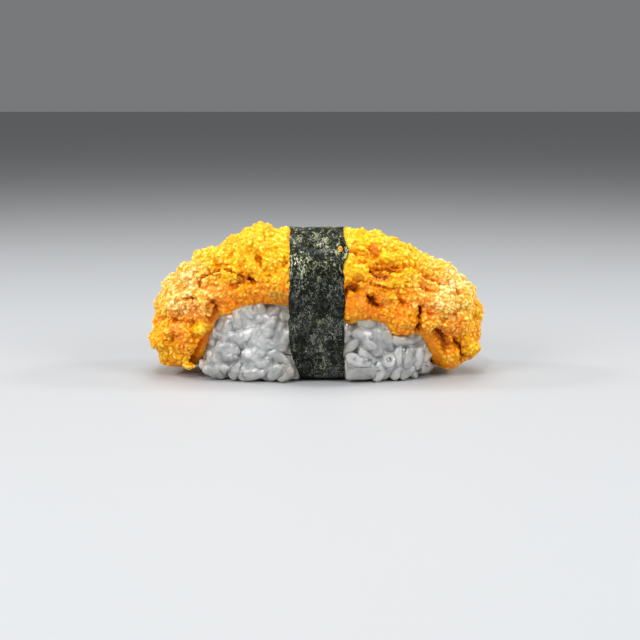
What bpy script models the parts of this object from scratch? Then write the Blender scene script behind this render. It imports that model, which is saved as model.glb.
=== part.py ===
"""Sea urchin sushi in metres, +Z up: a pressed rice block, one large tongue of sea urchin roe
draped over it and both its ends, and a strip of dried seaweed wrapped round the middle.

The origin is on the surface that the rice stands on, under the centre of the whole. +X runs along
the rice, and -Y is the front. Every shape is worked out from the sizes below.
"""

import math
import random

import bmesh
import bpy
from mathutils import Vector, noise

MM = 0.001

# The rice block is a rounded box, squarer than an ellipsoid, whose widest level is HEART_HEIGHT.
# At its ends the sides keep RICE_END_DEPTH of the depth. CORE_SINK is how far the core lies under it.
HEART_HEIGHT = 8 * MM
RICE_HALF_LENGTH = 26.4 * MM
RICE_HALF_DEPTH = 12.6 * MM
RICE_HEIGHT = 20 * MM
RICE_FOOT_DROP = 15 * MM
RICE_SQUARENESS = 3.2
RICE_END_DEPTH = 0.36
CORE_SINK = 1.3 * MM

# One cooked grain, and how the grains are strewn over the sides: far apart first, then in the gaps.
# Spacings are in widths, beads are where a grain keeps others away, in lengths, and burial is how
# deep the first ones lie, in thicknesses. They reach GRAIN_TUCK under the roe and the strip.
GRAIN_LENGTH = 5.7 * MM
GRAIN_WIDTH = 2.85 * MM
GRAIN_THICKNESS = 2.4 * MM
GRAIN_MERIDIANS = 5
GRAIN_RINGS = 4
GRAIN_BLUNTNESS = 0.65
GRAIN_SPACINGS = (0.88, 0.72, 0.6)
GRAIN_TRIES = 2400
GRAIN_LEVELS = (0.9 * MM, 18 * MM)
GRAIN_BEADS = (-0.3, 0, 0.3)
GRAIN_BURIAL = 0.98
GRAIN_SIZES = (0.92, 1.1)
GRAIN_TILT = 0.22
GRAIN_PROUD = 1.0 * MM
GRAIN_PROUD_FROM = 3 * MM
GRAIN_TUCK = 1 * MM
GRAIN_SEED = 7

# The roe tongue. Its outline along the sushi runs from the left foot over the top to the right
# foot, as distance along X and height in mm. Its rim lies nearer the rice than its outer skin.
ROE_HALF_LENGTH = 37.1 * MM
ROE_HALF_DEPTH = 16.3 * MM
ROE_TOP = 33.2 * MM
ROE_OUTLINE = [
    (-32, -0.8), (-35.6, 2.2), (-37, 6.5), (-37.2, 11.5), (-35.9, 17), (-33.4, 21.6), (-29.8, 25),
    (-25.4, 28.6), (-20.8, 30.2), (-16.5, 32.8), (-12.4, 34), (-8.6, 32.7), (0, 33.2), (7.6, 32.6),
    (15.5, 31), (21.2, 28.6), (28, 25.2), (32.6, 22.4), (35.6, 18.6), (37.2, 12), (37, 7),
    (36.6, 3.5), (33.8, 0.6),
]
ROE_SQUARENESS = 2.55
ROE_LIP_ROUNDING = 7
ROE_FOOT_ROUNDING = 13
ROE_TIP_ROUNDING = 10
ROE_SEAT = 0.14
ROE_STEPS_ALONG = 54
ROE_STEPS_ACROSS = 26
ROE_CROWDING = 0.45
ROE_GAP = 0.35 * MM
ROE_FOOT = 0.8 * MM
ROE_FOOT_EASE = 2.2 * MM

# The tongue's lower lip on the rice's front and back: distance along X and height, in mm.
FRONT_LIP = [
    (-26.2, 3), (-25.4, 4.3), (-24.5, 5), (-23.6, 9), (-22.3, 13.4), (-19.8, 14.8), (-16.9, 16.2),
    (-11.6, 17.3), (-6, 16.9), (6, 13.5), (9, 13.7), (12, 14), (15, 13.1), (16.3, 11), (19.5, 10.4),
    (22.4, 10.2), (24, 7.8), (24.9, 4.5), (25.2, 1),
]
BACK_LIP = [
    (-25.3, 1), (-24.2, 7), (-20, 12.5), (-11, 15), (0, 14), (10, 16.4), (17, 14.8), (23, 9),
    (24.8, 4), (25.2, 1),
]

# A soft drop of roe at the right foot: centre along X and Y, reach and fall, in mm. It starts at
# the first level and falls in full below the second.
DROP = (30, -4, 2.5, 2.6)
DROP_LEVELS = (9 * MM, 3 * MM)

# Cracks and pits in the roe's front: points along X and Z in mm, then width and depth in mm.
FRONT_CRACKS = [
    ([(-13.1, 27.7), (-12.4, 26.4), (-11.7, 24.8)], 1.3, 2.3),
    ([(-18.4, 21.5), (-16.4, 22.4), (-14.2, 23)], 1.3, 2.4),
    ([(-24, 25.5), (-20.1, 26.2)], 1.3, 1.5),
    ([(-22.8, 23.8), (-21.6, 23.3)], 1.3, 1.3),
    ([(-32.3, 13.6), (-30.5, 15.1)], 1.6, 1.8),
    ([(-32.6, 8.8), (-31.2, 9.6)], 1.4, 1.4),
    ([(5.7, 20.2), (7.2, 22.1), (8.6, 21.6)], 1.2, 2.4),
    ([(12.2, 30.2), (13.2, 29.3)], 1.5, 2.0),
    ([(12.4, 25.4), (13.7, 24.2), (15.2, 24)], 1.8, 2.4),
    ([(16.1, 25.7), (18.2, 25.2)], 1.3, 1.5),
    ([(11.7, 19.2), (12.3, 18.4), (13.5, 17.1)], 1.3, 1.7),
    ([(17.2, 21.3), (17.9, 20), (18.7, 18.5)], 1.3, 1.4),
    ([(22.7, 17), (22.4, 14), (22.2, 10.7)], 1.2, 2.2),
    ([(23.7, 22), (26.3, 20.4)], 1.4, 1.5),
    ([(26.3, 10.8), (27.2, 9.4), (28.4, 7.7)], 1.4, 2.1),
    ([(31.2, 7.9), (32.3, 7.1)], 1.4, 1.7),
]
CRACK_TURN = 4 * MM

# Lumps on the front, or hollows below zero: X and Z, reach along X and Z, and height, in mm.
FRONT_LUMPS = [
    (-29.8, 8, 3, 6.5, 0.5), (-25.3, 12.2, 1.3, 1.4, 0.8), (-35, 7.8, 1.5, 2, 0.7),
    (-20, 20.6, 4.4, 2.5, -0.5), (9, 18.3, 2.8, 2.3, 0.5), (26.2, 6.4, 1.5, 3.2, -0.8),
    (30, 4.4, 1.7, 2.2, 0.7), (34.8, 6.6, 1.7, 1.9, 0.9), (-16.5, 30.5, 5, 2.4, 0.5), (19, 14, 3.2, 3, 0.5),
]

# The left lobe folds over the smooth roe beside the rice. Its edge runs down the front, as X and Z
# in mm. The lobe stands up on its left and the roe is sunk on its right: height and reach, in mm.
FOLD_LINE = [
    (-24.5, 18.9), (-23.6, 18), (-22.6, 16.9), (-24.1, 14.2), (-23.7, 12.3), (-24.9, 10.3),
    (-27.1, 7), (-29.1, 3.5), (-29.5, 1),
]
FOLD_UP = (1.2, 3.2)
FOLD_DOWN = (1.5, 2.4)
FOLD_TOP = 18.5
BACK_CRACKS = [
    ([(-20, 24), (-15, 20), (-13, 16.5)], 1.8, 2.2),
    ([(-29, 17), (-26, 11)], 1.8, 2.0),
    ([(9, 28), (12, 24), (11, 19)], 1.8, 2.4),
    ([(20, 24), (25, 19)], 1.8, 1.8),
    ([(31, 13), (30, 8)], 1.6, 1.7),
]

# Unevenness of the roe, as size and height in mm: long waves, then clumps with creases between.
# A clump is level with the smooth form at CLUMP_EDGE, in squared clump sizes from its middle. Lumps
# and cracks show in full where the rim has risen to the share MARKS_FROM.
WAVES = (9, 1.0)
CLUMPS = [(4.6, 2.6), (2.8, 1.7)]
CLUMP_EDGE = 0.25
DEEPEST_SHARE = 0.7
MARKS_FROM = 0.35

# The seaweed strip's ring round the sushi, as distance towards the back and height in mm: from
# under the rice over the back and the top and down the front. The tail then tucks under its start.
STRIP_RING = [
    (-4, 1.05), (3, 1.0), (9.2, 1.1), (12.6, 3.1), (13.7, 7), (14.6, 13), (15.4, 19), (14.6, 24.5),
    (11.6, 29.3), (6.6, 32.2), (0, 33.1), (-6.6, 32.2), (-11.6, 29.3), (-14.6, 24.5), (-15.4, 19),
    (-14.6, 13), (-13.6, 7), (-12.1, 2.9), (-9.2, 1.1),
]
STRIP_TAIL = [(-12.1, 2.7), (-9, 0.5), (-3, 0.3), (4, 0.3)]
STRIP_STEPS = 62
STRIP_STEPS_ACROSS = 3
STRIP_HALF_WIDTH = 5.95 * MM
STRIP_THICKNESS = 0.35 * MM
STRIP_TUCK = 3.0 * MM
STRIP_TUCK_START = 11 * MM
STRIP_TUCK_DEPTH = 8 * MM
STRIP_WANDER = 0.15 * MM
STRIP_WANDER_SIZE = 3.5 * MM
CHANNEL_GAP = 0.32 * MM
CHANNEL_REACH = 4 * MM
GROUND_SIZE = Vector((120, 80, 20)) * MM

HEART = Vector((0, 0, HEART_HEIGHT))


def clear_scene():
    for obj in list(bpy.data.objects):
        bpy.data.objects.remove(obj)


def make_material(name, colour, roughness):
    material = bpy.data.materials.new(name)
    material.use_nodes = True
    shader = material.node_tree.nodes["Principled BSDF"]
    shader.inputs["Base Color"].default_value = (*colour, 1)
    shader.inputs["Roughness"].default_value = roughness
    return material


def make_object(name, bm, material=None):
    mesh = bpy.data.meshes.new(name)
    bm.to_mesh(mesh)
    bm.free()
    mesh.shade_smooth()
    obj = bpy.data.objects.new(name, mesh)
    bpy.context.scene.collection.objects.link(obj)
    if material:
        mesh.materials.append(material)
    return obj


def hide_helper(obj):
    obj.hide_render = True
    obj.display_type = "WIRE"


def cut_with(obj, cutter):
    cut = obj.modifiers.new("cut " + cutter.name, "BOOLEAN")
    cut.operation = "DIFFERENCE"
    cut.solver = "MANIFOLD"
    cut.object = cutter


def apply_cuts(obj):
    graph = bpy.context.evaluated_depsgraph_get()
    obj.data = bpy.data.meshes.new_from_object(obj.evaluated_get(graph))
    obj.modifiers.clear()


def reach_of(direction, half_length, half_depth, rise, drop, squareness):
    """How many times this direction from the heart reaches the surface of a rounded box."""
    height = rise if direction.z > 0 else drop
    parts = (direction.x / half_length, direction.y / half_depth, direction.z / height)
    return sum(abs(part) ** squareness for part in parts) ** (-1 / squareness)


def rice_reach(direction, grow=0.0):
    return reach_of(
        direction, RICE_HALF_LENGTH + grow, RICE_HALF_DEPTH + grow,
        RICE_HEIGHT - HEART_HEIGHT + grow, RICE_FOOT_DROP, RICE_SQUARENESS,
    )


def between(stations, at):
    """The value at a place, between the two stations on each side of it."""
    if at <= stations[0][0]:
        return stations[0][1]
    for (low, before), (high, after) in zip(stations, stations[1:]):
        if at <= high:
            return before + (after - before) * (at - low) / max(high - low, 1e-9)
    return stations[-1][1]


def smooth_path(points, shares):
    """Points at these shares of a smooth curve through all the points but the first and the last."""
    fine = []
    for a, b, c, d in zip(points, points[1:], points[2:], points[3:]):
        for step in range(12):
            u = step / 12
            bend = (2 * a - 5 * b + 4 * c - d) * u * u + (3 * b - a - 3 * c + d) * u ** 3
            fine.append(0.5 * (2 * b + (c - a) * u + bend))
    fine.append(points[-2])
    gone = [0.0]
    for before, after in zip(fine, fine[1:]):
        gone.append(gone[-1] + (after - before).length)
    path, at = [], 0
    for share in shares:
        want = gone[-1] * share
        while at < len(gone) - 2 and gone[at + 1] < want:
            at += 1
        path.append(fine[at].lerp(fine[at + 1], (want - gone[at]) / (gone[at + 1] - gone[at])))
    return path


def open_path(points, shares):
    ends = (points[0] * 2 - points[1], points[-1] * 2 - points[-2])
    return smooth_path([ends[0], *points, ends[1]], shares)


def even(steps):
    return [step / steps for step in range(steps + 1)]


def rice_side(x, z, side):
    """The point of the rounded box at this distance along X and this height, at its front or back."""
    x, rise = x * MM, z * MM - HEART_HEIGHT
    height = RICE_HEIGHT - HEART_HEIGHT if rise > 0 else RICE_FOOT_DROP
    free = 1 - abs(x / RICE_HALF_LENGTH) ** RICE_SQUARENESS - abs(rise / height) ** RICE_SQUARENESS
    depth = max(max(free, 0) ** (1 / RICE_SQUARENESS), RICE_END_DEPTH)
    return Vector((x, side * RICE_HALF_DEPTH * depth, z * MM))


def roe_shares(direction):
    """A direction from the heart as shares of the roe's length, depth and height."""
    return Vector((
        direction.x / ROE_HALF_LENGTH, direction.y / ROE_HALF_DEPTH, direction.z / (ROE_TOP - HEART_HEIGHT),
    ))


def outline_stations():
    """The outline as stations: the angle along the sushi, and the reach in that direction."""
    line = open_path([Vector((x * MM, 0, z * MM)) for x, z in ROE_OUTLINE], even(160))
    return [(math.atan2(d.x, d.z), d.length) for d in (roe_shares(point - HEART) for point in line)]


def roe_reach(direction, outline):
    shares = roe_shares(direction)
    flat = math.hypot(shares.x, shares.z)
    length = between(outline, math.atan2(shares.x, shares.z))
    return ((flat / length) ** ROE_SQUARENESS + abs(shares.y) ** ROE_SQUARENESS) ** (-1 / ROE_SQUARENESS)


def crack_depth(point, cracks):
    """How deep the cracks cut at a point of the roe, seen along Y."""
    deepest = 0.0
    spot = Vector((point.x, point.z)) / MM
    for line, width, depth in cracks:
        for start, end in zip(line, line[1:]):
            start, end = Vector(start), Vector(end)
            way = end - start
            share = max(0.0, min(1.0, (spot - start).dot(way) / way.length_squared))
            away = (spot - start - way * share).length
            deepest = max(deepest, depth * math.exp(-((away / width) ** 2)))
    return deepest * MM


def lump_height(point):
    height = 0.0
    for x, z, reach_x, reach_z, rise in FRONT_LUMPS:
        away = ((point.x / MM - x) / reach_x) ** 2 + ((point.z / MM - z) / reach_z) ** 2
        height += rise * math.exp(-away)
    return height * MM


def fold_height(point):
    """How far the roe stands up at the left of the fold's edge, or is sunk at its right."""
    spot = Vector((point.x, point.z)) / MM
    if spot.y > FOLD_TOP:
        return 0.0
    nearest, over = 1000.0, False
    for start, end in zip(FOLD_LINE, FOLD_LINE[1:]):
        start, end = Vector(start), Vector(end)
        way = end - start
        share = max(0.0, min(1.0, (spot - start).dot(way) / way.length_squared))
        apart = spot - start - way * share
        if apart.length < nearest:
            nearest = apart.length
            over = way.x * apart.y > way.y * apart.x
    height, reach = FOLD_DOWN if over else FOLD_UP
    return (-height if over else height) * math.exp(-((nearest / reach) ** 2)) * MM


def unevenness(point):
    """The long waves and the clumps with creases between, at a point of the smooth form."""
    height = WAVES[1] * MM * noise.noise(point / (WAVES[0] * MM))
    for size, rise in CLUMPS:
        near = noise.voronoi(point / (size * MM))[0][0]
        height += rise * MM * (CLUMP_EDGE - near * near)
    return height


def marks(point):
    """The lumps, the fold and the cracks together, at a point of the skin."""
    turn = min(1.0, abs(point.y) / CRACK_TURN)
    if point.y > 0:
        return -turn * crack_depth(point, BACK_CRACKS)
    return turn * (lump_height(point) + fold_height(point) - crack_depth(point, FRONT_CRACKS))


def settle(point):
    """Lowers the soft drop, then flattens what hangs lowest to just above the surface."""
    x, y, reach, fall = (value * MM for value in DROP)
    away = math.hypot(point.x - x, point.y - y) / reach
    start, full = DROP_LEVELS
    low = max(0.0, min(1.0, (start - point.z) / (start - full)))
    height = point.z - fall * low * math.exp(-away * away)
    if height < ROE_FOOT + ROE_FOOT_EASE:
        height = ROE_FOOT + ROE_FOOT_EASE * math.exp((height - ROE_FOOT - ROE_FOOT_EASE) / ROE_FOOT_EASE)
    return Vector((point.x, point.y, height))


def spread(share):
    """Steps from -1 to 1 that crowd a little towards both ends."""
    return (1 - ROE_CROWDING) * share + ROE_CROWDING * math.sin(share * math.pi / 2)


def roe_directions():
    """Rows of directions from the heart, each from the front lip over the outline to the back lip."""
    places = [spread(2 * i / ROE_STEPS_ALONG - 1) for i in range(ROE_STEPS_ALONG + 1)]
    shares = [(place + 1) / 2 for place in places]
    ridge = open_path([Vector((x * MM, 0, z * MM)) for x, z in ROE_OUTLINE], shares)
    front = open_path([rice_side(x, z, -1) for x, z in FRONT_LIP], shares)
    back = open_path([rice_side(x, z, 1) for x, z in BACK_LIP], shares)
    rows = []
    for place, top, *lips in zip(places, ridge, front, back):
        tip = (1 - abs(place) ** ROE_TIP_ROUNDING) ** 0.5
        top, *lips = (roe_shares(point - HEART).normalized() for point in (top, *lips))
        row = []
        for j in range(ROE_STEPS_ACROSS + 1):
            t = spread(2 * j / ROE_STEPS_ACROSS - 1)
            way = top.slerp(lips[t > 0], abs(t) * tip)
            row.append((way.x * ROE_HALF_LENGTH, way.y * ROE_HALF_DEPTH, way.z * (ROE_TOP - HEART_HEIGHT)))
        rows.append([Vector(way) for way in row])
    return places, rows


def roe_skins():
    """Rows of points of the roe's outer skin and of its underside, which meet at the rim."""
    outline = outline_stations()
    places, rows = roe_directions()
    steps = [spread(2 * j / ROE_STEPS_ACROSS - 1) for j in range(ROE_STEPS_ACROSS + 1)]
    skin, under, form, edges = [], [], [], []
    for place, row in zip(places, rows):
        foot = (1 - abs(place) ** ROE_FOOT_ROUNDING) ** 0.5
        edges.append([foot * (1 - abs(t) ** ROE_LIP_ROUNDING) ** 0.5 for t in steps])
        under.append([HEART + way * rice_reach(way, ROE_GAP) for way in row])
        form.append([HEART + way * roe_reach(way, outline) for way in row])
        shares = [ROE_SEAT + (1 - ROE_SEAT) * edge for edge in edges[-1]]
        skin.append([low.lerp(high, share) for low, high, share in zip(under[-1], form[-1], shares)])
    outer, inner = [], []
    for i in range(len(places)):
        outer_row, inner_row = [], []
        for j, edge in enumerate(edges[i]):
            low, high = max(i - 1, 0), min(i + 1, ROE_STEPS_ALONG)
            left, right = max(j - 1, 0), min(j + 1, ROE_STEPS_ACROSS)
            along, across = skin[high][j] - skin[low][j], skin[i][right] - skin[i][left]
            normal = along.cross(across).normalized()
            thick = form[i][j] - under[i][j]
            whole = min(1.0, edge / MARKS_FROM)
            relief = edge * unevenness(form[i][j]) + whole * marks(skin[i][j])
            relief = max(relief, -DEEPEST_SHARE * edge * thick.length)
            outer_row.append(settle(skin[i][j] + normal * relief))
            inner_row.append(settle(under[i][j] + thick * ROE_SEAT * (1 - edge)))
        outer.append(outer_row)
        inner.append(inner_row)
    return outer, inner


def add_skin(bm, rows, flip):
    verts = [[bm.verts.new(point) for point in row] for row in rows]
    for low, high in zip(verts, verts[1:]):
        for j in range(len(low) - 1):
            corners = (low[j], high[j], high[j + 1], low[j + 1])
            bm.faces.new(corners[::-1] if flip else corners)


def make_roe(material):
    bm = bmesh.new()
    outer, inner = roe_skins()
    add_skin(bm, outer, False)
    add_skin(bm, inner, True)
    bmesh.ops.remove_doubles(bm, verts=bm.verts, dist=0.02 * MM)
    bmesh.ops.dissolve_degenerate(bm, edges=bm.edges, dist=0.01 * MM)
    bmesh.ops.recalc_face_normals(bm, faces=bm.faces)
    return make_object("sea_urchin", bm, material)


def make_core(material):
    """The block under the grains: the rounded box, drawn in at its sides but not at its top."""
    bm = bmesh.new()
    bmesh.ops.create_uvsphere(bm, u_segments=20, v_segments=10, radius=1)
    for vert in bm.verts:
        reach = reach_of(
            vert.co, RICE_HALF_LENGTH - CORE_SINK, RICE_HALF_DEPTH - CORE_SINK,
            RICE_HEIGHT - HEART_HEIGHT, RICE_FOOT_DROP - CORE_SINK, RICE_SQUARENESS,
        )
        vert.co = HEART + vert.co * reach
    return make_object("rice", bm, material)


def grain_shape(size):
    """Points and faces of a plump grain along X, with a pole at each end."""
    length, width, thickness = (size * value / 2 for value in (GRAIN_LENGTH, GRAIN_WIDTH, GRAIN_THICKNESS))
    points, faces = [Vector((-length, 0, 0))], []
    for ring in range(1, GRAIN_RINGS):
        lean = math.pi * ring / GRAIN_RINGS
        girth = math.sin(lean) ** GRAIN_BLUNTNESS
        for step in range(GRAIN_MERIDIANS):
            turn = 2 * math.pi * (step + ring / 2) / GRAIN_MERIDIANS
            points.append(Vector((
                -length * math.cos(lean), width * girth * math.cos(turn), thickness * girth * math.sin(turn),
            )))
    points.append(Vector((length, 0, 0)))
    last = len(points) - 1
    for step in range(GRAIN_MERIDIANS):
        after = (step + 1) % GRAIN_MERIDIANS
        faces.append((0, 1 + after, 1 + step))
        for ring in range(GRAIN_RINGS - 2):
            low, high = 1 + ring * GRAIN_MERIDIANS, 1 + (ring + 1) * GRAIN_MERIDIANS
            faces.append((low + step, low + after, high + step))
            faces.append((low + after, high + after, high + step))
        top = 1 + (GRAIN_RINGS - 2) * GRAIN_MERIDIANS
        faces.append((top + step, top + after, last))
    return points, faces


def lip_above(point):
    """How far below the roe's lip a point of the rice's side lies."""
    lip = BACK_LIP if point.y > 0 else FRONT_LIP
    return between(lip[1:-1], point.x / MM) * MM - point.z


def rice_outward(surface):
    """The direction straight out of the rounded box at a point of its sides, seen from the heart."""
    outward = Vector()
    for k, size in enumerate((RICE_HALF_LENGTH, RICE_HALF_DEPTH, RICE_FOOT_DROP)):
        share = surface[k] / size
        outward[k] = math.copysign(abs(share) ** (RICE_SQUARENESS - 1) / size, share)
    return outward.normalized()


def grain_spots():
    """The grains' centres, long axes and outward directions, where the roe and the strip leave room."""
    rule = random.Random(GRAIN_SEED)
    spots, beads = [], []
    for spacing in GRAIN_SPACINGS:
        for _ in range(GRAIN_TRIES):
            turn = rule.uniform(0, 2 * math.pi)
            height = rule.uniform(*GRAIN_LEVELS)
            direction = Vector((
                RICE_HALF_LENGTH * math.cos(turn), RICE_HALF_DEPTH * math.sin(turn), height - HEART_HEIGHT,
            ))
            surface = direction * rice_reach(direction)
            depth = GRAIN_THICKNESS * (GRAIN_BURIAL - spacing * GRAIN_WIDTH / GRAIN_LENGTH)
            centre = HEART + surface - surface.normalized() * depth
            if lip_above(centre) < -GRAIN_TUCK or abs(centre.x) < STRIP_HALF_WIDTH - GRAIN_TUCK:
                continue
            outward = rice_outward(surface)
            level = outward.cross(Vector((0, 0, 1))).normalized()
            swing = rule.uniform(0, math.pi)
            axis = level * math.cos(swing) + level.cross(outward) * math.sin(swing)
            axis = (axis + outward * rule.gauss(0, GRAIN_TILT)).normalized()
            row = [centre + axis * GRAIN_LENGTH * share for share in GRAIN_BEADS]
            if all((bead - other).length > GRAIN_WIDTH * spacing for bead in row for other in beads):
                beads += row
                spots.append((centre, axis, outward))
    return spots


def hold_inside(point):
    """Draws a grain's point in to the rounded box, or a little proud of it well below the roe's lip."""
    direction = point - HEART
    free = max(0.0, min(1.0, lip_above(point) / GRAIN_PROUD_FROM))
    reach = rice_reach(direction, GRAIN_PROUD * free)
    return point if reach >= 1 else HEART + direction * reach


def make_rice(material):
    rice = make_core(material)
    grains = bpy.data.collections.new("grains")
    bpy.context.scene.collection.children.link(grains)
    rule = random.Random(GRAIN_SEED + 1)
    for centre, axis, outward in grain_spots():
        points, faces = grain_shape(rule.uniform(*GRAIN_SIZES))
        side = outward.cross(axis).normalized()
        up = axis.cross(side)
        placed = [centre + axis * point.x + side * point.y + up * point.z for point in points]
        mesh = bpy.data.meshes.new("grain")
        mesh.from_pydata([hold_inside(point) for point in placed], [], faces)
        grains.objects.link(bpy.data.objects.new("grain", mesh))
    fuse_collection(rice, grains)
    return rice


def fuse_collection(obj, collection):
    """One Boolean union of the object with all of the collection, applied."""
    fuse = obj.modifiers.new("fuse", "BOOLEAN")
    fuse.operation = "UNION"
    fuse.operand_type = "COLLECTION"
    fuse.solver = "MANIFOLD"
    fuse.collection = collection
    apply_cuts(obj)
    for grain in list(collection.objects):
        bpy.data.objects.remove(grain)
    bpy.data.collections.remove(collection)


def keep_outer_shell(obj):
    """Drops scraps and the shells of sealed hollows, which leaves the largest shell."""
    bm = bmesh.new()
    bm.from_mesh(obj.data)
    unseen, shells = set(bm.verts), []
    while unseen:
        shell, front = set(), {unseen.pop()}
        while front:
            vert = front.pop()
            shell.add(vert)
            near = {edge.other_vert(vert) for edge in vert.link_edges} & unseen
            unseen -= near
            front |= near
        shells.append(shell)
    largest = max(shells, key=len)
    bmesh.ops.delete(bm, geom=[vert for vert in bm.verts if vert not in largest], context="VERTS")
    bm.to_mesh(obj.data)
    bm.free()


def make_ground_cutter():
    """A slab below the surface that the sushi stands on."""
    bm = bmesh.new()
    bmesh.ops.create_cube(bm, size=1)
    for vert in bm.verts:
        vert.co = Vector(part * size for part, size in zip(vert.co - Vector((0, 0, 0.5)), GROUND_SIZE))
    slab = make_object("ground", bm)
    hide_helper(slab)
    return slab


def ring_points(line):
    return [Vector((0, y * MM, z * MM)) for y, z in line]


def strip_left_edge(point):
    """The strip's left edge slants in where it tucks under the front of the rice."""
    low = max(0.0, min(1.0, 1 - point.z / STRIP_TUCK_START))
    front = max(0.0, min(1.0, -point.y / STRIP_TUCK_DEPTH))
    return -STRIP_HALF_WIDTH + STRIP_TUCK * front * low * low


def make_strip(material):
    bm = bmesh.new()
    rows = []
    for point in open_path(ring_points([*STRIP_RING[:-2], *STRIP_TAIL]), even(STRIP_STEPS)):
        left = strip_left_edge(point) + STRIP_WANDER * noise.noise(point / STRIP_WANDER_SIZE)
        right = STRIP_HALF_WIDTH + STRIP_WANDER * noise.noise(Vector((9, *point.yz)) / STRIP_WANDER_SIZE)
        shares = [j / STRIP_STEPS_ACROSS for j in range(STRIP_STEPS_ACROSS + 1)]
        rows.append([bm.verts.new((left + (right - left) * share, point.y, point.z)) for share in shares])
    for low, high in zip(rows, rows[1:]):
        for j in range(STRIP_STEPS_ACROSS):
            bm.faces.new((low[j], low[j + 1], high[j + 1], high[j]))
    strip = make_object("nori_band", bm, material)
    thicken = strip.modifiers.new("thickness", "SOLIDIFY")
    thicken.thickness = STRIP_THICKNESS
    thicken.offset = 0
    return strip


def make_channel():
    """The ring that the strip presses into the roe and the rice, cut from both with a small gap."""
    line = ring_points([STRIP_RING[-1], *STRIP_RING, *STRIP_RING[:2]])
    path = smooth_path(line, even(STRIP_STEPS))[:-1]
    sunk = STRIP_THICKNESS / 2 + CHANNEL_GAP
    inner, outer = [], []
    for k, point in enumerate(path):
        way = (path[(k + 1) % len(path)] - path[k - 1]).normalized()
        out = Vector((0, way.z, -way.y))
        inner.append(point - out * sunk)
        outer.append(point + out * CHANNEL_REACH)
    bm = bmesh.new()
    room = CHANNEL_GAP + STRIP_WANDER
    lefts = [strip_left_edge(point) - room for point in path]
    rights = [STRIP_HALF_WIDTH + room] * len(path)
    rings = [
        [bm.verts.new((x, p.y, p.z)) for x, p in zip(edge, side)]
        for edge, side in ((lefts, inner), (lefts, outer), (rights, outer), (rights, inner))
    ]
    for ring, following in zip(rings, rings[1:] + rings[:1]):
        for k in range(len(path)):
            bm.faces.new((ring[k - 1], ring[k], following[k], following[k - 1]))
    bmesh.ops.recalc_face_normals(bm, faces=bm.faces)
    channel = make_object("channel", bm)
    hide_helper(channel)
    return channel


def main():
    clear_scene()
    rice = make_rice(make_material("rice", (0.78, 0.77, 0.73), 0.35))
    roe = make_roe(make_material("sea urchin roe", (0.87, 0.42, 0.03), 0.4))
    make_strip(make_material("dried seaweed", (0.02, 0.03, 0.018), 0.5))
    channel = make_channel()
    cut_with(rice, make_ground_cutter())
    cut_with(rice, channel)
    cut_with(roe, channel)
    apply_cuts(rice)
    keep_outer_shell(rice)


main()
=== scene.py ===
# Sea urchin sushi: a craggy tongue of roe over pressed rice, tied with a strip of dried seaweed.
# Left is -X, the front faces -Y, and everything stands on z = 0. Lengths in the dictionaries are in mm.
import itertools
import math
import random

import bmesh
import bpy
import numpy as np
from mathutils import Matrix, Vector, noise


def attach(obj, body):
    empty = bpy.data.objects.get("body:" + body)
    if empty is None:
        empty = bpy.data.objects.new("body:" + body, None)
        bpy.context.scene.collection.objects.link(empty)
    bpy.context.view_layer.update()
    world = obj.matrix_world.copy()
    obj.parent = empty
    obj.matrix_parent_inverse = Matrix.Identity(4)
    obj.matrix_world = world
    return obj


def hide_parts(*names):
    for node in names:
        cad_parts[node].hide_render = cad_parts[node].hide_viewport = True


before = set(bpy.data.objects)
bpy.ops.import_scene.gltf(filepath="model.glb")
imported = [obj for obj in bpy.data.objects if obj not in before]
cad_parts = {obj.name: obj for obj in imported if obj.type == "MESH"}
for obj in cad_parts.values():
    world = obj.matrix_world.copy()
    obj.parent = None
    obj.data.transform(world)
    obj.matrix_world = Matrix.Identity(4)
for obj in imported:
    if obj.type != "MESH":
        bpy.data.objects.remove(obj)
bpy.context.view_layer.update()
mm = 0.001


# Helpers for lines, grids and noise

def smoothstep(low, high, values):
    share = np.clip((values - low) / (high - low), 0, 1)
    return share * share * (3 - 2 * share)


def unit(vectors):
    return vectors / np.maximum(np.linalg.norm(vectors, axis=-1, keepdims=True), 1e-12)


def inMetres(lengths):
    return (length * mm for length in lengths)


def distanceAlong(line):
    return np.concatenate(([0], np.cumsum(np.linalg.norm(np.diff(line, axis=0), axis=1))))


def smoothLine(points, shares):
    # points at these shares of the length of a smooth curve through all of the points
    points = np.array(points, float)
    points = np.vstack((2 * points[0] - points[1], points, 2 * points[-1] - points[-2]))
    u = np.linspace(0, 1, 24, endpoint=False)[:, None]
    fine = []
    for a, b, c, d in zip(points, points[1:], points[2:], points[3:]):
        bend = (2 * a - 5 * b + 4 * c - d) * u ** 2 + (3 * b - a - 3 * c + d) * u ** 3
        fine.append(0.5 * (2 * b + (c - a) * u + bend))
    fine = np.vstack((*fine, points[-2]))
    gone = distanceAlong(fine)
    return np.stack([np.interp(np.array(shares) * gone[-1], gone, axis) for axis in fine.T], axis=1)


def gridNormals(grid):
    along = np.gradient(grid, axis=0)
    across = np.gradient(grid, axis=1)
    return unit(np.cross(along, across))


def softNoise(points, size, seed=0):
    # smooth noise from -1 to 1, with lumps of about this size
    shift = Vector((seed * 7.3, seed * 3.1, seed * 5.7))
    flat = (points / size).reshape(-1, 3).tolist()
    return np.array([noise.noise(Vector(p) + shift) for p in flat]).reshape(points.shape[:-1])


def noiseVectors(points, size, seeds):
    return np.stack([softNoise(points, size, seed) for seed in seeds], axis=-1)


def nearestLump(points, size):
    # squared distance to the nearest lump's middle, in lump sizes
    flat = (points / size).reshape(-1, 3).tolist()
    return np.array([noise.voronoi(Vector(p))[0][0] ** 2 for p in flat]).reshape(points.shape[:-1])


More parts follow.
